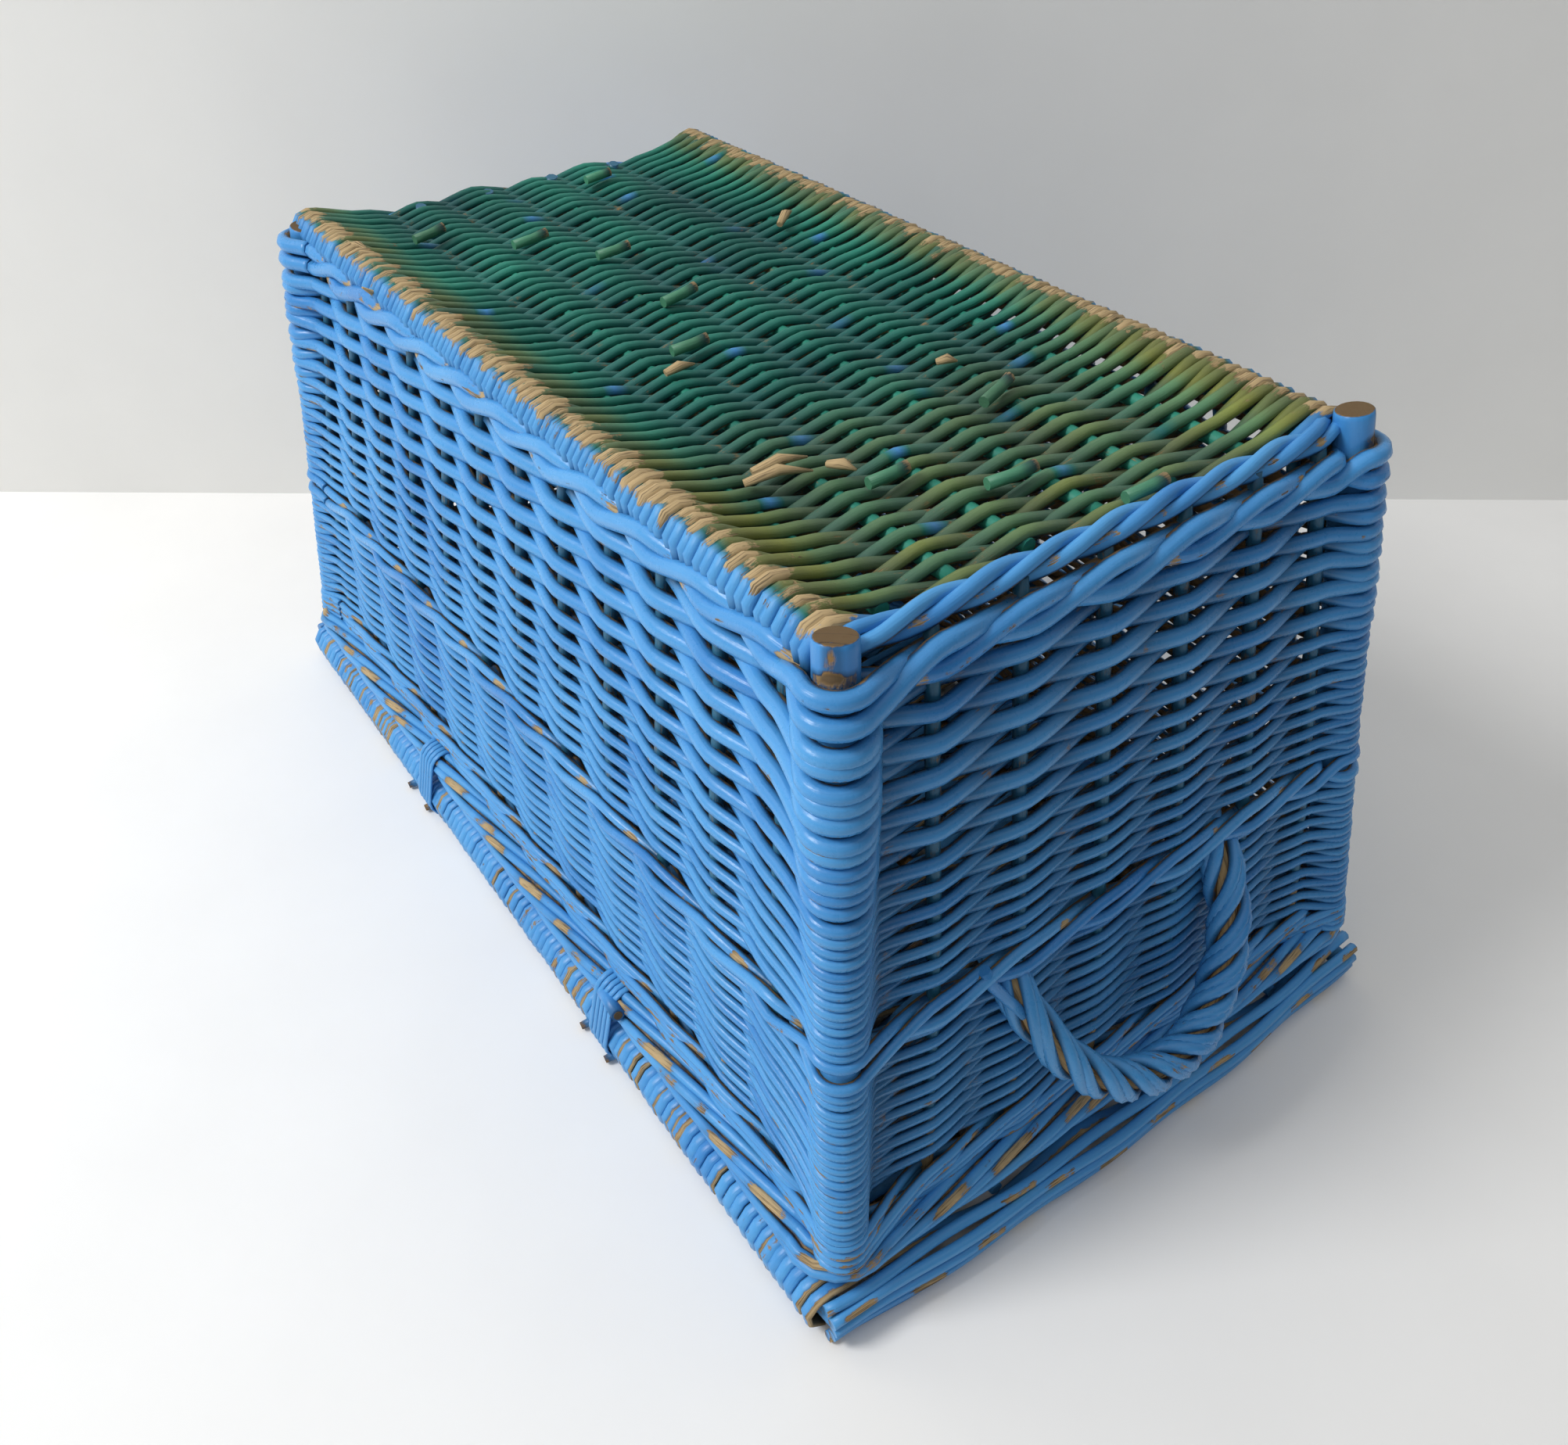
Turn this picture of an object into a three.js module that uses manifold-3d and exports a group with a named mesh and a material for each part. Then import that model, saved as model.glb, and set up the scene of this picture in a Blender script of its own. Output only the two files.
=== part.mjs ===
// Wicker trunk of willow rods. It stands upside down on its lid, with its base on top.
// Millimetres, +Z up, +X along the length, -Y is the hinge side.
// The floor is z = 0, and the middle of the footprint is the origin.
import * as THREE from "three";
import { mergeVertices } from "three/addons/utils/BufferGeometryUtils.js";
import Module from "manifold-3d";

const wasm = await Module();
wasm.setup();

// Overall sizes of the basket, measured outside its corners, and how far its walls
// stand back from there, next to the base and at the rim
const trunkHeight = 350;
const baseLength = 561;
const baseWidth = 314;
const rimLength = 672;
const rimWidth = 378;
const baseWallInset = 3;
const rimWallInset = 15;

// Gaps and cuts
const clearance = 0.3;
const cutOverrun = 2;

// Base and lid: sticks along the length, weavers across them
const stickRadius = 6.5;
const outerStickRadius = 8;
const innerStickCount = 6;
const panelWeaver = 6;
const panelCoursePitch = 24;
const stickEndLength = 3;
const tunnelSkin = 1.5;
const wornStripWidth = 8;
const lidEndOverhang = 2;
const lidSideOverhang = 9;

// Walls: upright stakes, corner posts, and the rods woven round them
const stakeRadius = 3.5;
const wallWeaver = 6;
const postRadius = 8.5;
const postWrap = 5;
const longStakeCount = 12;
const endStakeCount = 6;
const postBayShare = 0.55;
const sidingCoursePitch = 22;
const ledgeRise = 0.5;

// Bands of waling and the border
const upsettHeight = 22;
const upsettDrop = 13;
const upsettInner = 4;
const upsettProud = 1;
const rimWaleHeight = 15;
const rimWaleProud = 3;
const rimWaleCornerProud = 2;
const handleWaleHeight = 16;
const handleWaleThickness = 6;
const handleWaleLevel = 167;
const borderRadius = 11;
const borderOut = 10;
const borderCornerProud = 3;
const layShare = 0.2;
const layStations = 4;

// Roped handles
const bowRadius = 4.5;
const bowHalfSpan = 70;
const bowDrop = 78.5;
const bowReach = 44;
const bowSwellShare = 0.7;
const bowLegDepth = 24;
const ropingRadius = 3.2;
const ropingStrandCount = 2;
const ropingTurns = 4.5;

// Cane hinge loops
const hingePlaces = [-112, 128];
const hingeTurnCount = 5;
const hingeCane = 4.4;
const hingeCaneThickness = 2.6;
const hingeGrooveDepth = 0.8;

// Numbers of sides and steps of the round pieces
const rodSides = 10;
const postSides = 12;
const bowSides = 8;
const strandSides = 5;
const ringSides = 6;
const loopArcSteps = 8;
const bowSteps = 24;
const ropingStepsPerTurn = 8;

// Levels that follow from the sizes above
const seam = 2 * clearance;
const panelHalf = outerStickRadius + panelWeaver;
const lidTop = 2 * panelHalf;
const baseMiddle = trunkHeight - panelHalf;
const baseBottom = trunkHeight - 2 * panelHalf;
const borderMiddle = lidTop + seam + borderRadius;
const rimWaleBottom = borderMiddle + borderRadius + clearance;
const rimWaleTop = rimWaleBottom + rimWaleHeight;
const sidingBottom = rimWaleTop + clearance;
const upsettTop = trunkHeight - upsettDrop;
const upsettBottom = upsettTop - upsettHeight;
const sidingTop = upsettBottom - clearance;
const handleWaleBottom = handleWaleLevel - handleWaleHeight / 2;
const handleWaleTop = handleWaleLevel + handleWaleHeight / 2;

// Half thickness of a wall, its hollows, and the radii that wrap a corner post
const wallHalf = stakeRadius + wallWeaver;
const reliefLow = bowRadius + clearance + tunnelSkin;
const cornerStep = Math.PI / 4;
const grooveRadius = postRadius / Math.cos(cornerStep / 2) + clearance;
const wrapRadius = grooveRadius + postWrap;
const mitreSetBack = (clearance * Math.SQRT1_2) / 2;

// A band's section has corners at its widest, so its height fills only this share
const bandFillShare = Math.sin(Math.PI / 3);

// Paint and bare willow
const finishes = {
  bluePaint: { color: 0x5aa3e8, roughness: 0.42, metalness: 0 },
  greenPaint: { color: 0x1e6e55, roughness: 0.5, metalness: 0 },
  wornWillow: { color: 0xb08f62, roughness: 0.7, metalness: 0 },
  bareWillow: { color: 0x9a7b52, roughness: 0.75, metalness: 0 },
};

const trunk = new THREE.Group();
const basket = new THREE.Group();
const lid = new THREE.Group();
trunk.add(basket, lid);

// A mesh of its own for every named piece
function addPiece(parent, name, geometry, finish) {
  const mesh = new THREE.Mesh(geometry, new THREE.MeshStandardMaterial(finishes[finish]));
  mesh.name = name;
  parent.add(mesh);
}

// Solids for cutting
function toSolid(geometry) {
  const bare = geometry.clone();
  bare.deleteAttribute("normal");
  bare.deleteAttribute("uv");
  const merged = mergeVertices(bare);
  const vertProperties = new Float32Array(merged.attributes.position.array);
  const triVerts = new Uint32Array(merged.index.array);
  return new wasm.Manifold(new wasm.Mesh({ numProp: 3, vertProperties, triVerts }));
}

function cutFrom(geometry, cutters) {
  let solid = toSolid(geometry);
  for (const cutter of cutters) {
    solid = solid.subtract(toSolid(cutter));
  }
  const mesh = solid.getMesh();
  const cut = new THREE.BufferGeometry();
  const positions = new Float32Array(mesh.vertProperties);
  cut.setAttribute("position", new THREE.BufferAttribute(positions, 3));
  cut.setIndex(new THREE.BufferAttribute(new Uint32Array(mesh.triVerts), 1));
  return cut;
}

// A geometry from points and triangles, all turned to face out
function fromFaces(points, faces) {
  const corners = points.map((point) => new THREE.Vector3(...point));
  let volume = 0;
  for (const [a, b, c] of faces) {
    volume += corners[a].dot(corners[b].clone().cross(corners[c]));
  }
  const outward = volume > 0 ? faces : faces.map(([a, b, c]) => [a, c, b]);
  const geometry = new THREE.BufferGeometry();
  geometry.setAttribute("position", new THREE.Float32BufferAttribute(points.flat(), 3));
  geometry.setIndex(outward.flat());
  return geometry;
}

// Quads between neighbouring closed loops of equal length
function loftFaces(loopLength, loopCount, closed) {
  const faces = [];
  const spans = closed ? loopCount : loopCount - 1;
  for (let loop = 0; loop < spans; loop += 1) {
    const here = loop * loopLength;
    const there = ((loop + 1) % loopCount) * loopLength;
    for (let step = 0; step < loopLength; step += 1) {
      const next = (step + 1) % loopLength;
      faces.push([here + step, here + next, there + next]);
      faces.push([here + step, there + next, there + step]);
    }
  }
  return faces;
}

// Triangles that fill a flat loop, running the same way round as the loop does
function capFaces(outline, first) {
  const turn = Math.sign(THREE.ShapeUtils.area(outline));
  return THREE.ShapeUtils.triangulateShape(outline, []).map(([a, b, c]) => {
    const same = Math.sign(THREE.ShapeUtils.area([outline[a], outline[b], outline[c]])) === turn;
    return same ? [first + a, first + b, first + c] : [first + a, first + c, first + b];
  });
}

// A closed solid lofted through flat loops, with an end face on the first and the last
function loftSolid(loops, flatten) {
  const size = loops[0].length;
  const faces = loftFaces(size, loops.length, false);
  for (const [a, b, c] of capFaces(loops[0].map(flatten), 0)) {
    faces.push([a, c, b]);
  }
  faces.push(...capFaces(loops[loops.length - 1].map(flatten), (loops.length - 1) * size));
  return fromFaces(loops.flat(), faces);
}

const seenFromAbove = ([x, y]) => new THREE.Vector2(x, y);
const seenFromEnd = ([, y, z]) => new THREE.Vector2(y, z);

// Two directions square to a line of points, carried along it without twist
function framesAlong(points) {
  const centres = points.map((point) => new THREE.Vector3(...point));
  let side = null;
  return centres.map((centre, index) => {
    const before = centres[Math.max(index - 1, 0)];
    const after = centres[Math.min(index + 1, centres.length - 1)];
    const tangent = after.clone().sub(before).normalize();
    if (side === null) {
      side = Math.abs(tangent.z) > Math.SQRT1_2 ? new THREE.Vector3(1, 0, 0) : new THREE.Vector3(0, 0, 1);
    }
    side = side.clone().addScaledVector(tangent, -side.dot(tangent)).normalize();
    return { centre, side, up: tangent.clone().cross(side) };
  });
}

function aroundFrame({ centre, side, up }, radius, angle) {
  const spot = centre.clone().addScaledVector(side, radius * Math.cos(angle));
  return spot.addScaledVector(up, radius * Math.sin(angle)).toArray();
}

// A round rod along a line of points
function rodAlong(points, radius, sides) {
  const ringPoints = [];
  for (const frame of framesAlong(points)) {
    for (let step = 0; step < sides; step += 1) {
      ringPoints.push(aroundFrame(frame, radius, (2 * Math.PI * step) / sides));
    }
  }
  const faces = loftFaces(sides, points.length, false);
  const last = (points.length - 1) * sides;
  for (let step = 1; step < sides - 1; step += 1) {
    faces.push([0, step + 1, step]);
    faces.push([last, last + step, last + step + 1]);
  }
  return fromFaces(ringPoints, faces);
}

// The radius of a hole that leaves the clearance round a faceted rod
function holeRadius(radius, sides) {
  return radius + clearance / Math.cos(Math.PI / sides);
}

// Half sizes of the basket outside its corners, and the walls' inset, at any level
function flareAt(level) {
  const share = (trunkHeight - level) / (trunkHeight - lidTop);
  return {
    halfLength: THREE.MathUtils.lerp(baseLength, rimLength, share) / 2,
    halfWidth: THREE.MathUtils.lerp(baseWidth, rimWidth, share) / 2,
    wallInset: THREE.MathUtils.lerp(baseWallInset, rimWallInset, share),
  };
}

// The four walls in turn, each with the directions along it and out of it
const walls = [
  { name: "back_siding", along: [1, 0], out: [0, -1], stakeCount: longStakeCount },
  { name: "right_siding", along: [0, 1], out: [1, 0], stakeCount: endStakeCount },
  { name: "front_siding", along: [-1, 0], out: [0, 1], stakeCount: longStakeCount },
  { name: "left_siding", along: [0, -1], out: [-1, 0], stakeCount: endStakeCount },
];

// How far a wall's stakes and posts stand out from the middle of the trunk, and how
// far along the wall its posts are
function wallReach(wall, level) {
  const { halfLength, halfWidth, wallInset } = flareAt(level);
  const isLong = wall.along[0] !== 0;
  const outer = isLong ? halfWidth : halfLength;
  return {
    toStakes: outer - wallInset - wallHalf,
    postsOut: outer - wrapRadius,
    toPosts: (isLong ? halfLength : halfWidth) - wrapRadius,
  };
}

// Stations along a wall: three round each corner post and one at every stake
function stationsOf(wall) {
  const turns = [cornerStep, 0, -cornerStep];
  const stations = turns.map((angle) => ({ end: -1, angle }));
  for (let stake = 0; stake < wall.stakeCount; stake += 1) {
    stations.push({ stake });
  }
  stations.push(...turns.map((angle) => ({ end: 1, angle: -angle })));
  return stations;
}

// A point at a station: offset out from the stakes, or radius out from the post.
// The set-back draws the mitre of one wall away from the next one.
function planPoint(wall, station, level, offset, radius, setBack) {
  const { toStakes, postsOut, toPosts } = wallReach(wall, level);
  let along = 0;
  let out = 0;
  if (station.stake === undefined) {
    along = station.end * (toPosts + radius * Math.sin(station.angle) - setBack);
    out = postsOut + radius * Math.cos(station.angle) + setBack;
  } else {
    const bay = (2 * toPosts) / (wall.stakeCount - 1 + 2 * postBayShare);
    along = (station.stake - (wall.stakeCount - 1) / 2) * bay;
    out = toStakes + offset;
  }
  return [
    along * wall.along[0] + out * wall.out[0],
    along * wall.along[1] + out * wall.out[1],
    level,
  ];
}

// Levels of the courses between two levels, at their middles
function courseLevels(bottom, top) {
  const count = Math.max(1, Math.round((top - bottom) / sidingCoursePitch));
  const levels = [];
  for (let course = 0; course < count; course += 1) {
    levels.push(bottom + ((course + 0.5) * (top - bottom)) / count);
  }
  return levels;
}

// Woven wall: each course passes outside one stake and inside the next
function sidingGeometry(wall) {
  const rows = [];
  let course = 0;
  const addCourses = (bottom, top) => {
    rows.push({ level: bottom, course });
    for (const level of courseLevels(bottom, top)) {
      rows.push({ level, course });
      course += 1;
    }
    rows.push({ level: top, course: course - 1 });
  };
  addCourses(sidingBottom, handleWaleBottom - clearance - ledgeRise);
  rows.push({ level: handleWaleBottom - clearance, course: null });
  rows.push({ level: handleWaleTop + clearance, course: null });
  addCourses(handleWaleTop + clearance + ledgeRise, sidingTop);
  const stations = stationsOf(wall);
  const loops = rows.map(({ level, course: rowCourse }) => {
    const seated = rowCourse === null;
    const outer = [];
    const inner = [];
    for (const station of stations) {
      const passesOutside = (station.stake + rowCourse) % 2 === 0;
      const outerOffset = passesOutside && !seated ? wallHalf : reliefLow;
      const innerOffset = passesOutside || seated ? -reliefLow : -wallHalf;
      const outerRadius = wrapRadius - (seated ? wallHalf - reliefLow : 0);
      const setBack = station.angle === cornerStep ? mitreSetBack : 0;
      outer.push(planPoint(wall, station, level, outerOffset, outerRadius, setBack));
      inner.push(planPoint(wall, station, level, innerOffset, grooveRadius, setBack));
    }
    return [...outer, ...inner.reverse()];
  });
  return loftSolid(loops, seenFromAbove);
}

// A twisted band right round the basket: its section is a ring of points that turns
// from station to station, as the rods of a wale or border lie
function bandGeometry(middle, halfHeight, innerOffset, outerOffset, innerRadius, outerRadius) {
  const stations = walls.flatMap((wall) => {
    return stationsOf(wall).slice(0, -1).map((station) => ({ wall, station }));
  });
  const points = [];
  stations.forEach(({ wall, station }, index) => {
    const lay = (2 * Math.PI * index) / layStations;
    for (let step = 0; step < ringSides; step += 1) {
      const angle = (2 * Math.PI * step) / ringSides;
      const size = 1 - layShare * (0.5 + 0.5 * Math.cos(2 * angle - lay));
      const share = 0.5 + 0.5 * size * Math.cos(angle);
      const level = middle + halfHeight * size * Math.sin(angle);
      const offset = THREE.MathUtils.lerp(innerOffset, outerOffset, share);
      const radius = THREE.MathUtils.lerp(innerRadius, outerRadius, share);
      points.push(planPoint(wall, station, level, offset, radius, 0));
    }
  });
  return fromFaces(points, loftFaces(ringSides, stations.length, true));
}

// A flat woven panel: weavers go over one stick and under the next, and round the
// outer sticks, where the crests are worn flat
function wovenPanel({ middle, halfLength, halfWidth, sticks }) {
  const courseCount = Math.max(2, Math.round((2 * halfLength) / panelCoursePitch));
  const edge = halfWidth - panelHalf;
  const crest = stickRadius + panelWeaver;
  const hollow = holeRadius(stickRadius, rodSides) + tunnelSkin;
  const diagonal = panelHalf * Math.SQRT1_2;
  const strip = wornStripWidth / 2;
  const endArc = [
    [edge - strip, -panelHalf],
    [edge + strip, -panelHalf],
    [edge + diagonal, -diagonal],
    [edge + panelHalf, 0],
    [edge + diagonal, diagonal],
    [edge + strip, panelHalf],
    [edge - strip, panelHalf],
  ];
  const sectionAt = (x, course) => {
    const over = (index) => (index + course) % 2 === 0;
    const top = sticks.map((y, index) => [y, over(index) ? crest : hollow]);
    const under = sticks.map((y, index) => [y, over(index) ? -hollow : -crest]);
    const farArc = endArc.map(([y, z]) => [-y, -z]);
    const section = [...endArc, ...top.reverse(), ...farArc, ...under];
    return section.map(([y, z]) => [x, y, middle + z]);
  };
  const loops = [sectionAt(-halfLength, 0)];
  for (let course = 0; course < courseCount; course += 1) {
    loops.push(sectionAt(-halfLength + ((course + 0.5) * 2 * halfLength) / courseCount, course));
  }
  loops.push(sectionAt(halfLength, courseCount - 1));
  return loftSolid(loops, seenFromEnd);
}

// Places of the inner sticks, evenly spread between the two outer ones
function innerStickPlaces(edge) {
  const places = [];
  for (let index = 1; index <= innerStickCount; index += 1) {
    places.push(-edge + (2 * edge * index) / (innerStickCount + 1));
  }
  return places;
}

function stickLine(halfLength, y, z) {
  return [
    [-halfLength, y, z],
    [halfLength, y, z],
  ];
}

// One panel with its sticks: the sticks run through the weave in tunnels of their own
function addPanel(parent, panel) {
  const edge = panel.halfWidth - panelHalf;
  const sticks = innerStickPlaces(edge);
  const weaveHalf = panel.halfLength - stickEndLength;
  const cutHalf = panel.halfLength + cutOverrun;
  const cutters = [...panel.cutters];
  sticks.forEach((y, index) => {
    const line = stickLine(panel.halfLength, y, panel.middle);
    addPiece(parent, `${panel.name}_stick_${index + 1}`, rodAlong(line, stickRadius, rodSides), "bareWillow");
    const cutLine = stickLine(cutHalf, y, panel.middle);
    cutters.push(rodAlong(cutLine, holeRadius(stickRadius, rodSides), rodSides));
  });
  for (const [side, sign] of [["back", -1], ["front", 1]]) {
    const line = stickLine(panel.outerStickHalf, sign * edge, panel.middle);
    const name = `${panel.name}_outer_stick_${side}`;
    addPiece(parent, name, rodAlong(line, outerStickRadius, rodSides), "bareWillow");
    const cutLine = stickLine(cutHalf, sign * edge, panel.middle);
    cutters.push(rodAlong(cutLine, holeRadius(outerStickRadius, rodSides), rodSides));
  }
  const weave = wovenPanel({ ...panel, halfLength: weaveHalf, sticks });
  addPiece(parent, `${panel.name}_weave`, cutFrom(weave, cutters), panel.finish);
}

// Corner posts lean with the walls, from just above the lid to the top of the base
function postCentre(signX, signY, level) {
  const { halfLength, halfWidth } = flareAt(level);
  return [signX * (halfLength - wrapRadius), signY * (halfWidth - wrapRadius), level];
}

function leaningRod(low, high, radius) {
  const loops = [low, high].map(([x, y, z]) => {
    const loop = [];
    for (let step = 0; step < postSides; step += 1) {
      const angle = (2 * Math.PI * step) / postSides;
      loop.push([x + radius * Math.cos(angle), y + radius * Math.sin(angle), z]);
    }
    return loop;
  });
  return loftSolid(loops, seenFromAbove);
}

const postCorners = [
  { name: "corner_post_back_left", signX: -1, signY: -1 },
  { name: "corner_post_back_right", signX: 1, signY: -1 },
  { name: "corner_post_front_right", signX: 1, signY: 1 },
  { name: "corner_post_front_left", signX: -1, signY: 1 },
];
const postBottom = lidTop + seam;
const basePostCuts = [];
for (const { name, signX, signY } of postCorners) {
  const low = postCentre(signX, signY, postBottom);
  const high = postCentre(signX, signY, trunkHeight);
  addPiece(basket, name, leaningRod(low, high, postRadius), "wornWillow");
  const cutLow = postCentre(signX, signY, baseBottom - cutOverrun);
  const cutHigh = postCentre(signX, signY, trunkHeight + cutOverrun);
  basePostCuts.push(leaningRod(cutLow, cutHigh, holeRadius(postRadius, postSides)));
}

// Base: it sits inside the band of waling round it, with a post at each corner
const baseSeat = flareAt(trunkHeight);
const [basePostX] = postCentre(1, 1, baseMiddle + outerStickRadius);
addPanel(basket, {
  name: "base",
  finish: "greenPaint",
  middle: baseMiddle,
  halfLength: baseSeat.halfLength - baseWallInset - wallHalf - seam,
  halfWidth: baseSeat.halfWidth - baseWallInset - wallHalf + upsettInner - seam,
  outerStickHalf: basePostX - postRadius - seam,
  cutters: basePostCuts,
});

// Hinge loops: cane wound round the border and the back stick of the lid
const lidHalfLength = rimLength / 2 + lidEndOverhang;
const lidHalfWidth = rimWidth / 2 + lidSideOverhang;
const lidStickAxis = { y: -(lidHalfWidth - panelHalf), z: panelHalf };
const borderAxis = { y: -(wallReach(walls[0], borderMiddle).toStakes + borderOut), z: borderMiddle };
const arcShrink = Math.cos(Math.PI / (2 * (loopArcSteps - 1)));
const lowerLobe = outerStickRadius / arcShrink + clearance;
const upperLobe = borderRadius / arcShrink + clearance;
const hingeWidth = hingeTurnCount * hingeCane;

// The line of a belt round two round rods, grown outwards
function beltOutline(x, grow) {
  const dy = borderAxis.y - lidStickAxis.y;
  const dz = borderAxis.z - lidStickAxis.z;
  const heading = Math.atan2(dz, dy);
  const touch = Math.acos((lowerLobe - upperLobe) / Math.hypot(dy, dz));
  const outline = [];
  const addArc = (axis, radius, from, to) => {
    for (let step = 0; step < loopArcSteps; step += 1) {
      const angle = heading + THREE.MathUtils.lerp(from, to, step / (loopArcSteps - 1));
      outline.push([x, axis.y + radius * Math.cos(angle), axis.z + radius * Math.sin(angle)]);
    }
  };
  addArc(borderAxis, upperLobe + grow, -touch, touch);
  addArc(lidStickAxis, lowerLobe + grow, touch, 2 * Math.PI - touch);
  return outline;
}

function hingeLoopGeometry(place) {
  const start = place - hingeWidth / 2;
  const loops = [];
  for (let half = 0; half <= 2 * hingeTurnCount; half += 1) {
    const grow = hingeCaneThickness - (half % 2 === 0 ? hingeGrooveDepth : 0);
    loops.push(beltOutline(start + (half * hingeCane) / 2, grow));
  }
  const bore = [start - cutOverrun, start + hingeWidth + cutOverrun].map((x) => beltOutline(x, 0));
  return cutFrom(loftSolid(loops, seenFromEnd), [loftSolid(bore, seenFromEnd)]);
}

// Room for a hinge loop: an open notch in the lid's back edge, and one under the wale
const loopTop = borderAxis.z + upperLobe + hingeCaneThickness;
const loopReach = Math.max(lowerLobe, upperLobe) + hingeCaneThickness + seam;
const loopInnerFace = Math.max(lidStickAxis.y + lowerLobe, borderAxis.y + upperLobe) + hingeCaneThickness;
const notchInner = loopInnerFace + seam;
const lidCuts = [];
const waleCuts = [];
hingePlaces.forEach((place, index) => {
  addPiece(basket, `hinge_loop_${index + 1}`, hingeLoopGeometry(place), "bluePaint");
  const width = hingeWidth + 2 * seam;
  const notchDepth = panelHalf + notchInner - lidStickAxis.y + cutOverrun;
  const lidNotch = new THREE.BoxGeometry(width, notchDepth, lidTop + 2 * cutOverrun);
  lidCuts.push(lidNotch.translate(place, notchInner - notchDepth / 2, panelHalf));
  const waleNotchHeight = loopTop + seam - rimWaleBottom + cutOverrun;
  const waleNotch = new THREE.BoxGeometry(width, 2 * (wallHalf + loopReach), waleNotchHeight);
  const waleNotchMiddle = loopTop + seam - waleNotchHeight / 2;
  waleCuts.push(waleNotch.translate(place, borderAxis.y, waleNotchMiddle));
});

// Lid: it lies on the floor, its back stick is the hinge pin
addPanel(lid, {
  name: "lid",
  finish: "bluePaint",
  middle: panelHalf,
  halfLength: lidHalfLength,
  halfWidth: lidHalfWidth,
  outerStickHalf: lidHalfLength,
  cutters: lidCuts,
});

// Bands: the border on the lid, waling above it, at the handles and round the base
const borderBand = bandGeometry(
  borderMiddle,
  borderRadius,
  borderOut - borderRadius,
  borderOut + borderRadius,
  grooveRadius,
  wrapRadius + borderCornerProud,
);
addPiece(basket, "border", borderBand, "bluePaint");

const rimWaleBand = bandGeometry(
  (rimWaleBottom + rimWaleTop) / 2,
  rimWaleHeight / 2 / bandFillShare,
  -wallHalf,
  wallHalf + rimWaleProud,
  grooveRadius,
  wrapRadius + rimWaleCornerProud,
);
addPiece(basket, "rim_wale", cutFrom(rimWaleBand, waleCuts), "bluePaint");

const handleWaleInner = reliefLow + clearance;
const handleWaleOuter = handleWaleInner + handleWaleThickness;
const handleWaleBand = bandGeometry(
  handleWaleLevel,
  handleWaleHeight / 2 / bandFillShare,
  handleWaleInner,
  handleWaleOuter,
  wrapRadius - wallHalf + handleWaleInner,
  wrapRadius - wallHalf + handleWaleOuter,
);
addPiece(basket, "handle_wale", handleWaleBand, "bluePaint");

const upsettBand = bandGeometry(
  (upsettBottom + upsettTop) / 2,
  upsettHeight / 2 / bandFillShare,
  upsettInner,
  wallHalf + upsettProud,
  grooveRadius + upsettProud,
  wrapRadius + upsettProud,
);
addPiece(basket, "upsett_wale", upsettBand, "bluePaint");

// Handles: a bow whose legs run up inside the weave, roped with rods wound round it
const bowTop = handleWaleBottom - bowRadius;

function bowPoint(sign, angle) {
  const drop = Math.sin(angle);
  const level = bowTop - bowDrop * drop;
  const swell = bowReach * Math.max(drop, 0) ** bowSwellShare;
  const x = wallReach(walls[1], level).toStakes + swell;
  return [sign * x, -bowHalfSpan * Math.cos(angle), level];
}

function bowLine(sign, legDepth) {
  const legLevel = bowTop + legDepth;
  const legX = sign * wallReach(walls[1], legLevel).toStakes;
  const points = [[legX, -bowHalfSpan, legLevel]];
  for (let step = 0; step <= bowSteps; step += 1) {
    points.push(bowPoint(sign, (Math.PI * step) / bowSteps));
  }
  points.push([legX, bowHalfSpan, legLevel]);
  return points;
}

// The roping starts where it is clear of the weave, and winds in facets round the bow
const ropingOrbit = (bowRadius + ropingRadius + clearance) / Math.cos(Math.PI / ropingStepsPerTurn);
const ropingClear = wallHalf + ropingOrbit + ropingRadius + clearance;
const ropingStart = Math.asin((ropingClear / bowReach) ** (1 / bowSwellShare));

function ropingGeometry(sign, strand) {
  const stepCount = Math.round(ropingTurns * ropingStepsPerTurn);
  const spine = [];
  for (let step = 0; step <= stepCount; step += 1) {
    const angle = THREE.MathUtils.lerp(ropingStart, Math.PI - ropingStart, step / stepCount);
    spine.push(bowPoint(sign, angle));
  }
  const phase = (2 * Math.PI * strand) / ropingStrandCount;
  const wound = framesAlong(spine).map((frame, step) => {
    return aroundFrame(frame, ropingOrbit, phase + (2 * Math.PI * step) / ropingStepsPerTurn);
  });
  return rodAlong(wound, ropingRadius, strandSides);
}

const socketCuts = {};
for (const [side, sign] of [["right", 1], ["left", -1]]) {
  const bow = rodAlong(bowLine(sign, bowLegDepth), bowRadius, bowSides);
  addPiece(basket, `handle_bow_${side}`, bow, "wornWillow");
  const socketLine = bowLine(sign, bowLegDepth + clearance);
  socketCuts[`${side}_siding`] = rodAlong(socketLine, holeRadius(bowRadius, bowSides), bowSides);
  for (let strand = 0; strand < ropingStrandCount; strand += 1) {
    const name = `handle_roping_${side}_${strand + 1}`;
    addPiece(basket, name, ropingGeometry(sign, strand), "bluePaint");
  }
}

// Walls, the end ones with sockets for the handle legs
for (const wall of walls) {
  const siding = sidingGeometry(wall);
  const socket = socketCuts[wall.name];
  addPiece(basket, wall.name, socket ? cutFrom(siding, [socket]) : siding, "bluePaint");
}

export default trunk;
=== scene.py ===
# %% [markdown]
# # An old painted wicker trunk
# The trunk stands upside down on its lid, so its woven base is on top. Everything on it is
# willow: thick rods for the posts and sticks, thin ones for the weave. This script builds
# every rod as real geometry, paints it blue or green, and wears the paint off again.
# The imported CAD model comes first. It is the frame that all pieces ride on.

# %% Load the frame
import math

import bpy
import numpy as np
from mathutils import Matrix, Vector


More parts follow.
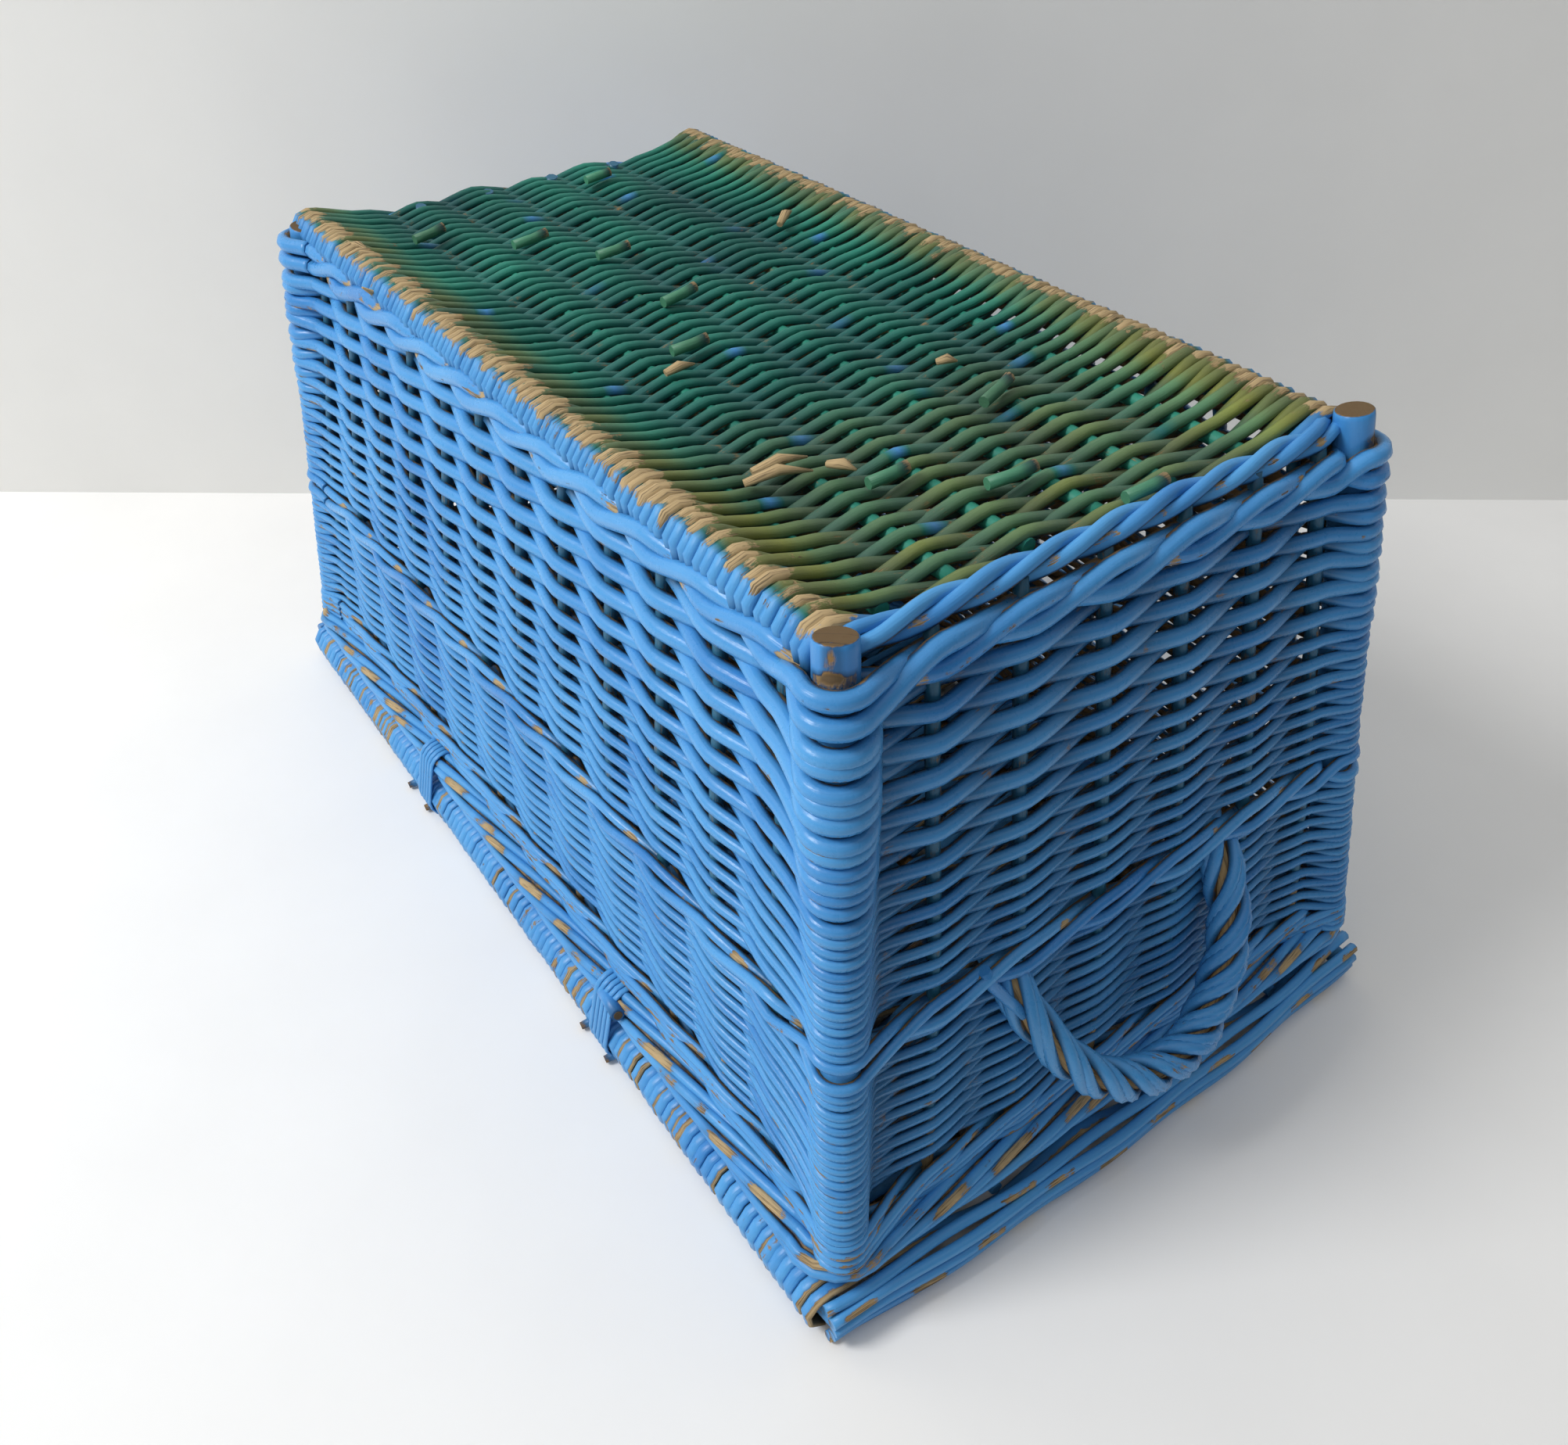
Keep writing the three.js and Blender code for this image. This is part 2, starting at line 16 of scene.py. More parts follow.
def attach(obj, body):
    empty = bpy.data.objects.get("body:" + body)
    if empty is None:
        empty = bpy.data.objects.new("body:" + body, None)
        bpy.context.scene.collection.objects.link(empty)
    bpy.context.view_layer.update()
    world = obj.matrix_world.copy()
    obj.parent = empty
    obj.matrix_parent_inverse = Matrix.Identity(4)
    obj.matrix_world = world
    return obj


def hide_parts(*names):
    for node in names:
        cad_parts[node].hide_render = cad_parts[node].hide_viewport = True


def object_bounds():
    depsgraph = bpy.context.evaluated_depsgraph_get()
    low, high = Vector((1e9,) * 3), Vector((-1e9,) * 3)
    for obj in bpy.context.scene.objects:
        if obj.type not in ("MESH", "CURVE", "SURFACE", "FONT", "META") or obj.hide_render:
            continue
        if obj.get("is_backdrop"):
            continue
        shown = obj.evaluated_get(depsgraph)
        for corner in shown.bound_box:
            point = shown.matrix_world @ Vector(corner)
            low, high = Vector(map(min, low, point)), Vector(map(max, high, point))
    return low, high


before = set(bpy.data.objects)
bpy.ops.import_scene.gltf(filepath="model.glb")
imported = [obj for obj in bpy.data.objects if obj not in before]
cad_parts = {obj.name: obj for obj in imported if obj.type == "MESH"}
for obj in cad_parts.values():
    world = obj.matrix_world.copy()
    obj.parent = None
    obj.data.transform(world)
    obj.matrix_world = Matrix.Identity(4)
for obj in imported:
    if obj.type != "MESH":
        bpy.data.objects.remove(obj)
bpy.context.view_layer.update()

# %% [markdown]
# ## Camera
# The camera stands where the photographer stood: in front of the near corner of the trunk,
# about a metre away and looking down at 40 degrees. Its place and turn came from fitting
# the trunk's corners and edges. It comes first, because every later choice is seen from it.

# %% Camera
AZIMUTH = 0.96466
ELEVATION = 0.70080
ROLL = -0.01372
CAMERA_PLACE = (0.54937, -0.36090, 0.61272)
LENS_MM = 29.643

back = Vector(
    (
        math.sin(AZIMUTH) * math.cos(ELEVATION),
        -math.cos(AZIMUTH) * math.cos(ELEVATION),
        math.sin(ELEVATION),
    )
)
level_right = Vector((math.cos(AZIMUTH), math.sin(AZIMUTH), 0))
level_up = back.cross(level_right)
right = level_right * math.cos(ROLL) + level_up * math.sin(ROLL)
up = level_up * math.cos(ROLL) - level_right * math.sin(ROLL)

camera_data = bpy.data.cameras.new("camera")
camera_data.lens = LENS_MM
camera_data.sensor_width = 36
camera = bpy.data.objects.new("camera", camera_data)
bpy.context.scene.collection.objects.link(camera)
placing = [[right[i], up[i], back[i], CAMERA_PLACE[i]] for i in range(3)]
camera.matrix_world = Matrix(placing + [[0, 0, 0, 1]])
bpy.context.scene.camera = camera
print("camera", [round(v, 3) for v in camera.location], "lens", LENS_MM)

# %% [markdown]
# ## Small helpers
# Colours are written as sRGB hex values, the way a paint card would give them. Blender
# works with linear light, so one function turns the one into the other. A second function
# adds a shader node with its settings and links, and hands back one of its outputs. Four
# short ones build on it, for the nodes that are used again and again. The last helper here
# is a soft step from 0 to 1, for the values that the rods carry.

# %% Colour and node helpers
def paint(hex_code):
    parts = [int(hex_code[i : i + 2], 16) / 255 for i in (0, 2, 4)]
    linear = [p / 12.92 if p <= 0.04045 else ((p + 0.055) / 1.055) ** 2.4 for p in parts]
    return (*linear, 1.0)


def add_node(tree, kind, inputs=None, out=0, **settings):
    node = tree.nodes.new(kind)
    for name, value in settings.items():
        setattr(node, name, value)
    for socket, value in (inputs or {}).items():
        if isinstance(value, bpy.types.NodeSocket):
            tree.links.new(value, node.inputs[socket])
        else:
            node.inputs[socket].default_value = value
    return node.outputs[out]


def blend(tree, share, first, second):
    return add_node(tree, "ShaderNodeMix", {0: share, 6: first, 7: second}, out=2, data_type="RGBA")


def ramp(tree, value, from_min=0.0, from_max=1.0, to_min=0.0, to_max=1.0):
    ends = {"From Min": from_min, "From Max": from_max, "To Min": to_min, "To Max": to_max}
    return add_node(tree, "ShaderNodeMapRange", {"Value": value, **ends})


def reckon(tree, operation, *values, clamp=False):
    return add_node(tree, "ShaderNodeMath", dict(enumerate(values)), operation=operation, use_clamp=clamp)


def noise(tree, place, scale, detail, roughness=0.5):
    settings = {"Vector": place, "Scale": scale, "Detail": detail, "Roughness": roughness}
    return add_node(tree, "ShaderNodeTexNoise", settings)


def smooth(low, high, value):
    share = np.clip((np.asarray(value, float) - low) / (high - low), 0, 1)
    return share * share * (3 - 2 * share)


print("a blue in linear light", [round(c, 3) for c in paint("539cd2")])

# %% [markdown]
# ## Floor, wall and light
# The trunk stands on a pale screed floor near a light grey wall. Both are plain pale
# sheets. The wall shows only from its front, so that a camera behind it still sees the
# trunk. Soft daylight comes from a window on the hinge side, and from the ceiling on that
# side of the room. The other side gives only a weak bluish light, so the end wall with the
# handle lies in shade.

# %% Floor and wall
FLOOR_HEX = "f4f3f1"
WALL_HEX = "e3e2de"
WALL_DISTANCE = 0.396
WALL_GLOW = 0.09
REACH = 6.0
WALL_HEIGHT = 3.0
GRIT_SCALE = 9.0
DULLER = 0.93


def pale_finish(name, hex_code, one_sided):
    material = bpy.data.materials.new(name)
    material.use_nodes = True
    tree = material.node_tree
    shader = tree.nodes["Principled BSDF"]
    place = add_node(tree, "ShaderNodeNewGeometry", out="Position")
    grit = noise(tree, place, GRIT_SCALE, 8.0)
    dull = tuple(c * DULLER for c in paint(hex_code)[:3]) + (1.0,)
    tone = blend(tree, grit, paint(hex_code), dull)
    tree.links.new(tone, shader.inputs["Base Color"])
    shader.inputs["Roughness"].default_value = 0.75
    if one_sided:
        tree.links.new(tone, shader.inputs["Emission Color"])
        shader.inputs["Emission Strength"].default_value = WALL_GLOW
        behind = add_node(tree, "ShaderNodeNewGeometry", out="Backfacing")
        clear = add_node(tree, "ShaderNodeBsdfTransparent")
        switch = add_node(tree, "ShaderNodeMixShader", {0: behind, 1: shader.outputs[0], 2: clear})
        tree.links.new(switch, tree.nodes["Material Output"].inputs["Surface"])
    return material


def pale_sheet(name, corners, material):
    mesh = bpy.data.meshes.new(name)
    mesh.from_pydata([tuple(c) for c in corners], [], [(0, 1, 2, 3)])
    mesh.materials.append(material)
    sheet = bpy.data.objects.new(name, mesh)
    bpy.context.scene.collection.objects.link(sheet)
    sheet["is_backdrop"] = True
    return sheet


floor_corners = [(-REACH, -REACH, 0), (REACH, -REACH, 0), (REACH, REACH, 0), (-REACH, REACH, 0)]
floor = pale_sheet("floor", floor_corners, pale_finish("screed_floor", FLOOR_HEX, False))
foot = Vector((-0.8, 0.6, 0)) * WALL_DISTANCE
run = Vector((0.6, 0.8, 0)) * REACH
rise = Vector((0, 0, WALL_HEIGHT))
wall_corners = [foot - run, foot + run, foot + run + rise, foot - run + rise]
room_wall = pale_sheet("room_wall", wall_corners, pale_finish("plastered_wall", WALL_HEX, True))
print("wall faces", [round(v, 2) for v in room_wall.data.polygons[0].normal])

# %% Window light and room light
WINDOW_PLACE = Vector((-0.55, -1.9, 2.1))
WINDOW_WATTS = 47
ROOM_STRENGTH = 1.08
BRIGHT_SIDE = (-0.45, -0.25, 0.86)
ROOM_HEX = "f1f1f0"
FILL_STRENGTH = 0.13
FILL_HEX = "8fb2ee"
SHADE_FROM = -0.05

window_data = bpy.data.lights.new("window_light", "AREA")
window_data.shape = "DISK"
window_data.size = 0.9
window_data.energy = WINDOW_WATTS
window = bpy.data.objects.new("window_light", window_data)
bpy.context.scene.collection.objects.link(window)
window.location = WINDOW_PLACE
window.rotation_euler = (Vector((0, 0, 0.15)) - WINDOW_PLACE).to_track_quat("-Z", "Y").to_euler()

world = bpy.data.worlds.new("room")
bpy.context.scene.world = world
world.use_nodes = True
sky = world.node_tree
aim = add_node(sky, "ShaderNodeTexCoord", out="Generated")
sides = {0: aim, 1: BRIGHT_SIDE}
towards = add_node(sky, "ShaderNodeVectorMath", sides, out="Value", operation="DOT_PRODUCT")
strength = ramp(sky, towards, SHADE_FROM, 1.0, FILL_STRENGTH, ROOM_STRENGTH)
daylight = ramp(sky, towards, SHADE_FROM, 0.08)
tint = blend(sky, daylight, paint(FILL_HEX), paint(ROOM_HEX))
sky.links.new(tint, sky.nodes["Background"].inputs["Color"])
sky.links.new(strength, sky.nodes["Background"].inputs["Strength"])
bpy.context.scene.view_settings.view_transform = "Standard"
print("window", WINDOW_WATTS, "W, room", ROOM_STRENGTH, "to", FILL_STRENGTH)

# %% [markdown]
# ## Painted willow
# Every piece is a willow rod under paint. Willow is a fine-grained pale wood. It was brushed
# with a semi-gloss oil paint, which lies thick on the outside of the weave, thins out where
# a rod dives behind a stake, and never reached the hidden side. Years of handling then wore
# it off the crests. The material reads four values that each rod carries with it: how much
# paint reached a place, how much it was rubbed, the rod's own tone, and its hue, from 0 for
# blue through 1 for green to 2 for the yellowed olive. Where little paint reached, the
# material also darkens the colour as painted shade.

# %% Colours and real sizes of the finish
BLUE_HEX = "509bd6"
BLUE_DEEP_HEX = "2f79bf"
TEAL_HEX = "2c8f78"
TEAL_DEEP_HEX = "1b6558"
OLIVE_HEX = "868b3a"
BARE_HEX = "8a6d45"
WORN_HEX = "b59d75"
# Grime and dark fibre streaks in bare wood, also used as painted shade on bare wood inside the weave
GRIME_AND_SHADE_HEX = "3a3026"
# A dark blue for painted shade in the recesses of the weave
RECESS_SHADE_HEX = "142b44"

FIBRE_WIDTH_MM = 0.9
FIBRE_LENGTH_MM = 12
FLAKE_MM = 9.0
BRUSH_MM = 3.0
CLOUD_SCALE = 11.0
AROUND_MM = 24
BUMP_METRES = 0.0005


# %% Painted willow
def painted_willow(name, gloss, wear, cover):
    material = bpy.data.materials.new(name)
    material.use_nodes = True
    tree = material.node_tree
    shader = tree.nodes["Principled BSDF"]
    place = add_node(tree, "ShaderNodeNewGeometry", out="Position")
    grain = add_node(tree, "ShaderNodeAttribute", out="Vector", attribute_name="grain")
    coat, rub, tone, hue = [
        add_node(tree, "ShaderNodeAttribute", out="Fac", attribute_name=value)
        for value in ("coat", "rub", "tone", "hue")
    ]

    # Willow fibre runs along each rod, so its noise is stretched that way
    stretch = (1000 / FIBRE_LENGTH_MM, AROUND_MM / FIBRE_WIDTH_MM, 1.0)
    along = add_node(tree, "ShaderNodeMapping", {"Vector": grain, "Scale": stretch})
    fibre = noise(tree, along, 1.0, 3.0)
    flake = noise(tree, place, 1000 / FLAKE_MM, 4.0, 0.62)
    brush = noise(tree, place, 1000 / BRUSH_MM, 3.0)
    cloud = noise(tree, place, CLOUD_SCALE, 3.0)

    # The paint: each rod took it a little differently, and it aged in clouds
    cloudy = ramp(tree, cloud, 0.35, 0.7)
    aged = reckon(tree, "MULTIPLY", cloudy, tone)
    blue = blend(tree, aged, paint(BLUE_HEX), paint(BLUE_DEEP_HEX))
    teal = blend(tree, cloudy, paint(TEAL_DEEP_HEX), paint(TEAL_HEX))
    yellowing = reckon(tree, "SUBTRACT", hue, 1.0, clamp=True)
    green = blend(tree, yellowing, teal, paint(OLIVE_HEX))
    greenness = reckon(tree, "MINIMUM", hue, 1.0)
    colour = blend(tree, greenness, blue, green)

    # Painted shade: where little paint reached, deep in the weave and on the inside, the colour darkens
    # towards a dark blue
    painted_shade = ramp(tree, coat, 0.3, 0.9, 0.82, 0.0)
    colour = blend(tree, painted_shade, colour, paint(RECESS_SHADE_HEX))

    # The wood under it: brown, pale where it is rubbed, and dark along some fibres. It is darker where
    # it was never painted: partly grime on old bare wood, partly painted shade inside and in the recesses
    rubbed = ramp(tree, rub, 0.3, 0.8)
    wood = blend(tree, rubbed, paint(BARE_HEX), paint(WORN_HEX))
    streak = ramp(tree, fibre, 0.5, 0.75)
    grime_and_shade = ramp(tree, coat, 0.04, 0.3, 0.6, 0.0)
    streak_grime_and_shade = reckon(tree, "MAXIMUM", streak, grime_and_shade)
    wood = blend(tree, streak_grime_and_shade, wood, paint(GRIME_AND_SHADE_HEX))

    # Where the paint still is: it reached the place, and it was not worn off
    patchy = reckon(tree, "SUBTRACT", flake, 0.5)
    fine = reckon(tree, "SUBTRACT", fibre, 0.5)
    ragged = reckon(tree, "MULTIPLY_ADD", fine, 0.5, patchy)
    reach = reckon(tree, "MULTIPLY_ADD", ragged, 1.1, coat)
    reach = reckon(tree, "ADD", reach, cover)
    covered = ramp(tree, reach, 0.22, 0.40)
    worn = reckon(tree, "MULTIPLY_ADD", rub, wear, ragged)
    gone = ramp(tree, worn, 0.50, 0.58)
    kept = reckon(tree, "SUBTRACT", 1.0, gone)
    painted = reckon(tree, "MULTIPLY", covered, kept)
    tree.links.new(blend(tree, painted, wood, colour), shader.inputs["Base Color"])

    # Paint shines and old wood does not
    rough = ramp(tree, painted, 0.0, 1.0, 0.85, gloss)
    uneven = reckon(tree, "MULTIPLY_ADD", brush, 0.25, rough)
    uneven = reckon(tree, "SUBTRACT", uneven, 0.125)
    tree.links.new(uneven, shader.inputs["Roughness"])
    shader.inputs["IOR"].default_value = 1.48
    shader.inputs["Specular IOR Level"].default_value = 0.4

    # The edge of the paint, the fibre and the brush marks are slight steps
    ridge = reckon(tree, "MULTIPLY_ADD", fibre, 0.6, painted)
    ridge = reckon(tree, "MULTIPLY_ADD", brush, 0.6, ridge)
    bump = add_node(tree, "ShaderNodeBump", {"Height": ridge, "Strength": 0.5, "Distance": BUMP_METRES})
    tree.links.new(bump, shader.inputs["Normal"])
    return material


blue_willow = painted_willow("blue_painted_willow", 0.30, 0.75, 0.0)
green_willow = painted_willow("green_painted_willow", 0.48, 0.70, 0.0)
worn_willow = painted_willow("worn_painted_willow", 0.36, 1.0, 0.0)
bare_willow = painted_willow("bare_willow", 0.55, 1.0, -0.55)
print("materials", blue_willow.name, green_willow.name, worn_willow.name, bare_willow.name)

# %% [markdown]
# ## A bundle of rods
# A curve with a bevel could draw a rod, but hundreds of curves are slow and carry no values
# for the paint. So a small class collects rods as rings of points and makes one mesh of a
# whole piece. Each ring is square to the rod, and a reference direction keeps the rings
# from twisting. Lengths here are in millimetres.

# %% Rods
dice = np.random.default_rng(7)


class RodBundle:
    def __init__(self):
        self.points = []
        self.faces = []
        self.values = {"coat": [], "rub": [], "tone": [], "hue": []}
        self.grain = []
        self.count = 0
        self.rods = 0

    def add(self, line, radius, reference, sides=8, flat=1.0, closed=False, **values):
        line = np.asarray(line, float)
        rings = len(line)
        ahead = np.roll(line, -1, 0)
        behind = np.roll(line, 1, 0)
        if not closed:
            ahead[-1] = line[-1]
            behind[0] = line[0]
        tangent = ahead - behind
        tangent /= np.linalg.norm(tangent, axis=1, keepdims=True) + 1e-9
        reference = np.broadcast_to(np.asarray(reference, float), (rings, 3))
        side = reference - (reference * tangent).sum(1, keepdims=True) * tangent
        side /= np.linalg.norm(side, axis=1, keepdims=True) + 1e-9
        across = np.cross(tangent, side)
        radius = np.broadcast_to(np.asarray(radius, float), (rings,))[:, None, None]
        angle = (np.arange(sides) * 2 * math.pi / sides)[None, :, None]
        ring = line[:, None, :] + radius * (
            np.cos(angle) * side[:, None, :] + flat * np.sin(angle) * across[:, None, :]
        )
        first = self.count
        spans = rings if closed else rings - 1
        here = first + (np.arange(spans) * sides)[:, None] + np.arange(sides)[None, :]
        there = first + ((np.arange(spans) + 1) % rings * sides)[:, None] + np.arange(sides)[None, :]
        quads = np.stack([here, np.roll(here, -1, 1), np.roll(there, -1, 1), there], -1)
        self.faces.extend(quads.reshape(-1, 4).tolist())
        self.points.append(ring.reshape(-1, 3))
        self.count += rings * sides
        if not closed:
            self.faces.append([first + i for i in range(sides)][::-1])
            self.faces.append([first + (rings - 1) * sides + i for i in range(sides)])
        travel = np.concatenate([[0], np.cumsum(np.linalg.norm(np.diff(line, axis=0), axis=1))])
        values.setdefault("tone", dice.uniform(0, 1))
        for name, standard in (("coat", 1.0), ("rub", 0.0), ("tone", 0.5), ("hue", 0.0)):
            value = np.asarray(values.get(name, standard), float)
            value = value[:, None] if value.ndim == 1 else value
            self.values[name].append(np.broadcast_to(value, (rings, sides)).reshape(-1))
        grain = np.zeros((rings, sides, 3))
        grain[:, :, 0] = travel[:, None] / 1000
        grain[:, :, 1] = np.minimum(np.arange(sides), sides - np.arange(sides))[None, :] / sides
        grain[:, :, 2] = dice.uniform(0, 50)
        self.grain.append(grain.reshape(-1, 3))
        self.rods += 1

    def make(self, name, material, body, slot, *nodes):
        points = np.vstack(self.points) / 1000
        mesh = bpy.data.meshes.new(name)
        mesh.from_pydata(points.tolist(), [], self.faces)
        round_faces = np.array([len(face) == 4 for face in self.faces])
        mesh.polygons.foreach_set("use_smooth", round_faces)
        for value in self.values:
            data = np.concatenate(self.values[value]).astype(np.float32)
            mesh.attributes.new(value, "FLOAT", "POINT").data.foreach_set("value", data)
        grain = np.vstack(self.grain).astype(np.float32)
        mesh.attributes.new("grain", "FLOAT_VECTOR", "POINT").data.foreach_set("vector", grain.ravel())
        mesh.materials.append(material)
        piece = bpy.data.objects.new(name, mesh)
        bpy.context.scene.collection.objects.link(piece)
        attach(piece, body)
        if nodes:
            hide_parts(*nodes)
        print(name, self.rods, "rods", len(points), "points")
        return piece


def around(sides):
    angle = np.arange(sides) * 2 * math.pi / sides
    return np.cos(angle)[None, :], np.sin(angle)[None, :]


# %% [markdown]
# ## The shape of the basket
# The walls lean outward from the base to the rim. The corner posts stand further out than
# the walls between them, so each corner is a proud column. A round of weaving meets forty
# uprights: twelve stakes in each long wall, six in each end wall, and a post at each corner.
# All levels are heights above the floor, so a higher level is nearer to the base.

# %% Sizes of the basket
BASE_LEVEL = 350.0
LID_LEVEL = 28.0
POST_RADIUS = 8.9
STAKE_RADIUS = 3.4
SWING = 0.62
STAKE_FOOT = 339
STAKE_HEAD = 46
BASE_HALF = (280.5, 157.0)
RIM_HALF = (336.0, 189.0)
POST_IN = 14.5

# Each wall: the way its weave runs, the way it faces, its stakes near the base, and how far
# out its woven face stands at these levels
FACE_LEVELS = [40, 66, 100, 160, 200, 250, 300, 350]
LONG_FACE = [177, 176.5, 174.5, 170.5, 166.5, 160.5, 154, 150]
END_FACE = [319, 317.5, 313, 305, 299, 290.5, 282, 276]
WALLS = [
    {"along": (1, 0), "out": (0, -1), "stakes": [-244 + 43.2 * i for i in range(12)], "face": LONG_FACE},
    {"along": (0, 1), "out": (1, 0), "stakes": [-98, -54, -9, 36, 80, 122], "face": END_FACE},
    {"along": (-1, 0), "out": (0, 1), "stakes": [-238 + 43.2 * i for i in range(12)], "face": LONG_FACE},
    {"along": (0, -1), "out": (-1, 0), "stakes": [-115 + 46.0 * i for i in range(6)], "face": END_FACE},
]
STATIONS = [(wall, k) for wall in WALLS for k in list(range(len(wall["stakes"]))) + [None]]

# The weave is coarse under the base and fine towards the rim
PITCH_LEVELS = [70, 150, 175, 200, 225, 240, 262, 292]
ROW_PITCHES = [4.2, 4.3, 4.4, 4.7, 5.3, 6.1, 6.9, 7.2]
RADIUS_LEVELS = [70, 175, 225, 250, 280, 300]
ROW_RADII = [2.4, 2.5, 2.9, 3.5, 4.0, 4.25]


def lean(level):
    share = (BASE_LEVEL - level) / (BASE_LEVEL - LID_LEVEL)
    half_length = BASE_HALF[0] + (RIM_HALF[0] - BASE_HALF[0]) * share
    half_width = BASE_HALF[1] + (RIM_HALF[1] - BASE_HALF[1]) * share
    return half_length - POST_IN, half_width - POST_IN


def flat_way(direction):
    return np.array([direction[0], direction[1], 0.0])


def stake_centre(wall, k, level):
    which = 0 if wall["along"][0] else 1
    along = wall["stakes"][k] * lean(level)[which] / lean(BASE_LEVEL)[which]
    radius = np.interp(level, RADIUS_LEVELS, ROW_RADII)
    out = np.interp(level, FACE_LEVELS, wall["face"]) - radius - SWING * (STAKE_RADIUS + radius)
    return along * flat_way(wall["along"]) + out * flat_way(wall["out"]) + np.array([0, 0, level])


def post_centre(wall, level):
    corner = flat_way(wall["out"]) + flat_way(wall["along"])
    reach_x, reach_y = lean(level)
    return np.array([corner[0] * reach_x, corner[1] * reach_y, level])


print("uprights", len(STATIONS), "post tops at", post_centre(WALLS[0], BASE_LEVEL).round(1))

# %% [markdown]
# ## Uprights
# The stakes are rods as thin as a pencil. They start in the base and run down to the rim,
# where they are plaited into the border, and show as dark stubs between the rounds. Each
# corner post is one thick rod, sawn off proud of the base. Its top is bare sawn wood, and
# the paint below it is worn off on the outer side.

# %% Stakes
stakes = RodBundle()
for wall, k in STATIONS:
    if k is None:
        continue
    line = np.array([stake_centre(wall, k, level) for level in np.linspace(STAKE_HEAD, STAKE_FOOT, 24)])
    line[-3:] -= np.outer([0.5, 1.5, 3.0], flat_way(wall["out"]))
    line += dice.normal(0, 0.25, line.shape)
    radius = STAKE_RADIUS * dice.uniform(0.92, 1.05)
    bare = smooth(92, 70, line[:, 2])
    # Half a coat, which the material darkens as painted shade, so the stakes read dark between the rounds
    coat = 0.5 - 0.4 * bare
    rub = 0.2 + 0.7 * bare
    stakes.add(line, radius, flat_way(wall["out"]), coat=coat, rub=rub, hue=0.45)
stakes.make("upright_stakes", worn_willow, "basket", "worn_willow")

# %% Corner posts
POST_SIDES = 20
LEFT_POSTS_SHORTER = 9
posts = RodBundle()
facing_out, _ = around(POST_SIDES)
for wall, k in STATIONS:
    if k is not None:
        continue
    on_right = post_centre(wall, BASE_LEVEL)[0] > 0
    top = BASE_LEVEL if on_right else BASE_LEVEL - LEFT_POSTS_SHORTER
    near_top = top - np.array([18, 15, 12, 9, 6, 2.5, 0.6, 0])
    levels = np.concatenate([np.linspace(42, top - 22, 20), near_top])
    line = np.array([post_centre(wall, level) for level in levels])
    radius = np.full(len(levels), POST_RADIUS)
    radius[-2:] = POST_RADIUS - 0.3, POST_RADIUS - 1.0
    corner = flat_way(wall["out"]) + flat_way(wall["along"])
    below_top = (top - levels)[:, None]
    worn_face = smooth(0.86, 1.0, facing_out) * smooth(15, 11, below_top)
    sawn_band = smooth(0.1, 0.7, facing_out) * smooth(9, 12, below_top) * smooth(20, 17, below_top)
    coat = 1.0 - 0.62 * worn_face - 0.7 * sawn_band
    rub = np.full((len(levels), POST_SIDES), 0.1) + 0.35 * sawn_band
    coat[-1] = 0.0
    posts.add(line, radius, corner, sides=POST_SIDES, coat=coat, rub=rub, tone=0.8)
corners = ("back_left", "back_right", "front_left", "front_right")
post_nodes = [f"corner_post_{corner}" for corner in corners]
posts.make("sawn_corner_posts", worn_willow, "basket", "worn_willow", *post_nodes)

# %% [markdown]
# ## A round of weaving
# A weaver goes in front of one stake and behind the next. At a corner it always goes
# outside the post, in a tight bend. So a round is a chain of knots, joined by smooth
# curves. Each knot is a point, the way the rod runs there, and its side: 1 for outside, -1
# for inside. A lift moves the rod up or down at an upright. On the end walls the rod dips
# into a valley beside each post before it meets the first stake.

# %% Smooth curve through knots
VALLEY_FROM = 30
VALLEY_REACH = 21
VALLEY_DEPTH = 2.5
STRAIGHTEN = 0.62


def smooth_curve(knots, closed, long_steps, short_steps, long_from):
    line = []
    share = []
    for index, (here, there) in enumerate(zip(knots, knots[1:] + knots[:1])):
        if index == len(knots) - 1 and not closed:
            break
        distance = np.linalg.norm(there[0] - here[0])
        steps = long_steps if distance > long_from else short_steps
        pull = distance * (STRAIGHTEN if distance > long_from else 1.0)
        for t in np.arange(steps) / steps:
            line.append(
                (2 * t**3 - 3 * t**2 + 1) * here[0]
                + (t**3 - 2 * t**2 + t) * pull * here[1]
                + (3 * t**2 - 2 * t**3) * there[0]
                + (t**3 - t**2) * pull * there[1]
            )
            share.append(here[2] + (there[2] - here[2]) * t * t * (3 - 2 * t))
    if not closed:
        line.append(knots[-1][0])
        share.append(knots[-1][2])
    return np.array(line), np.array(share)


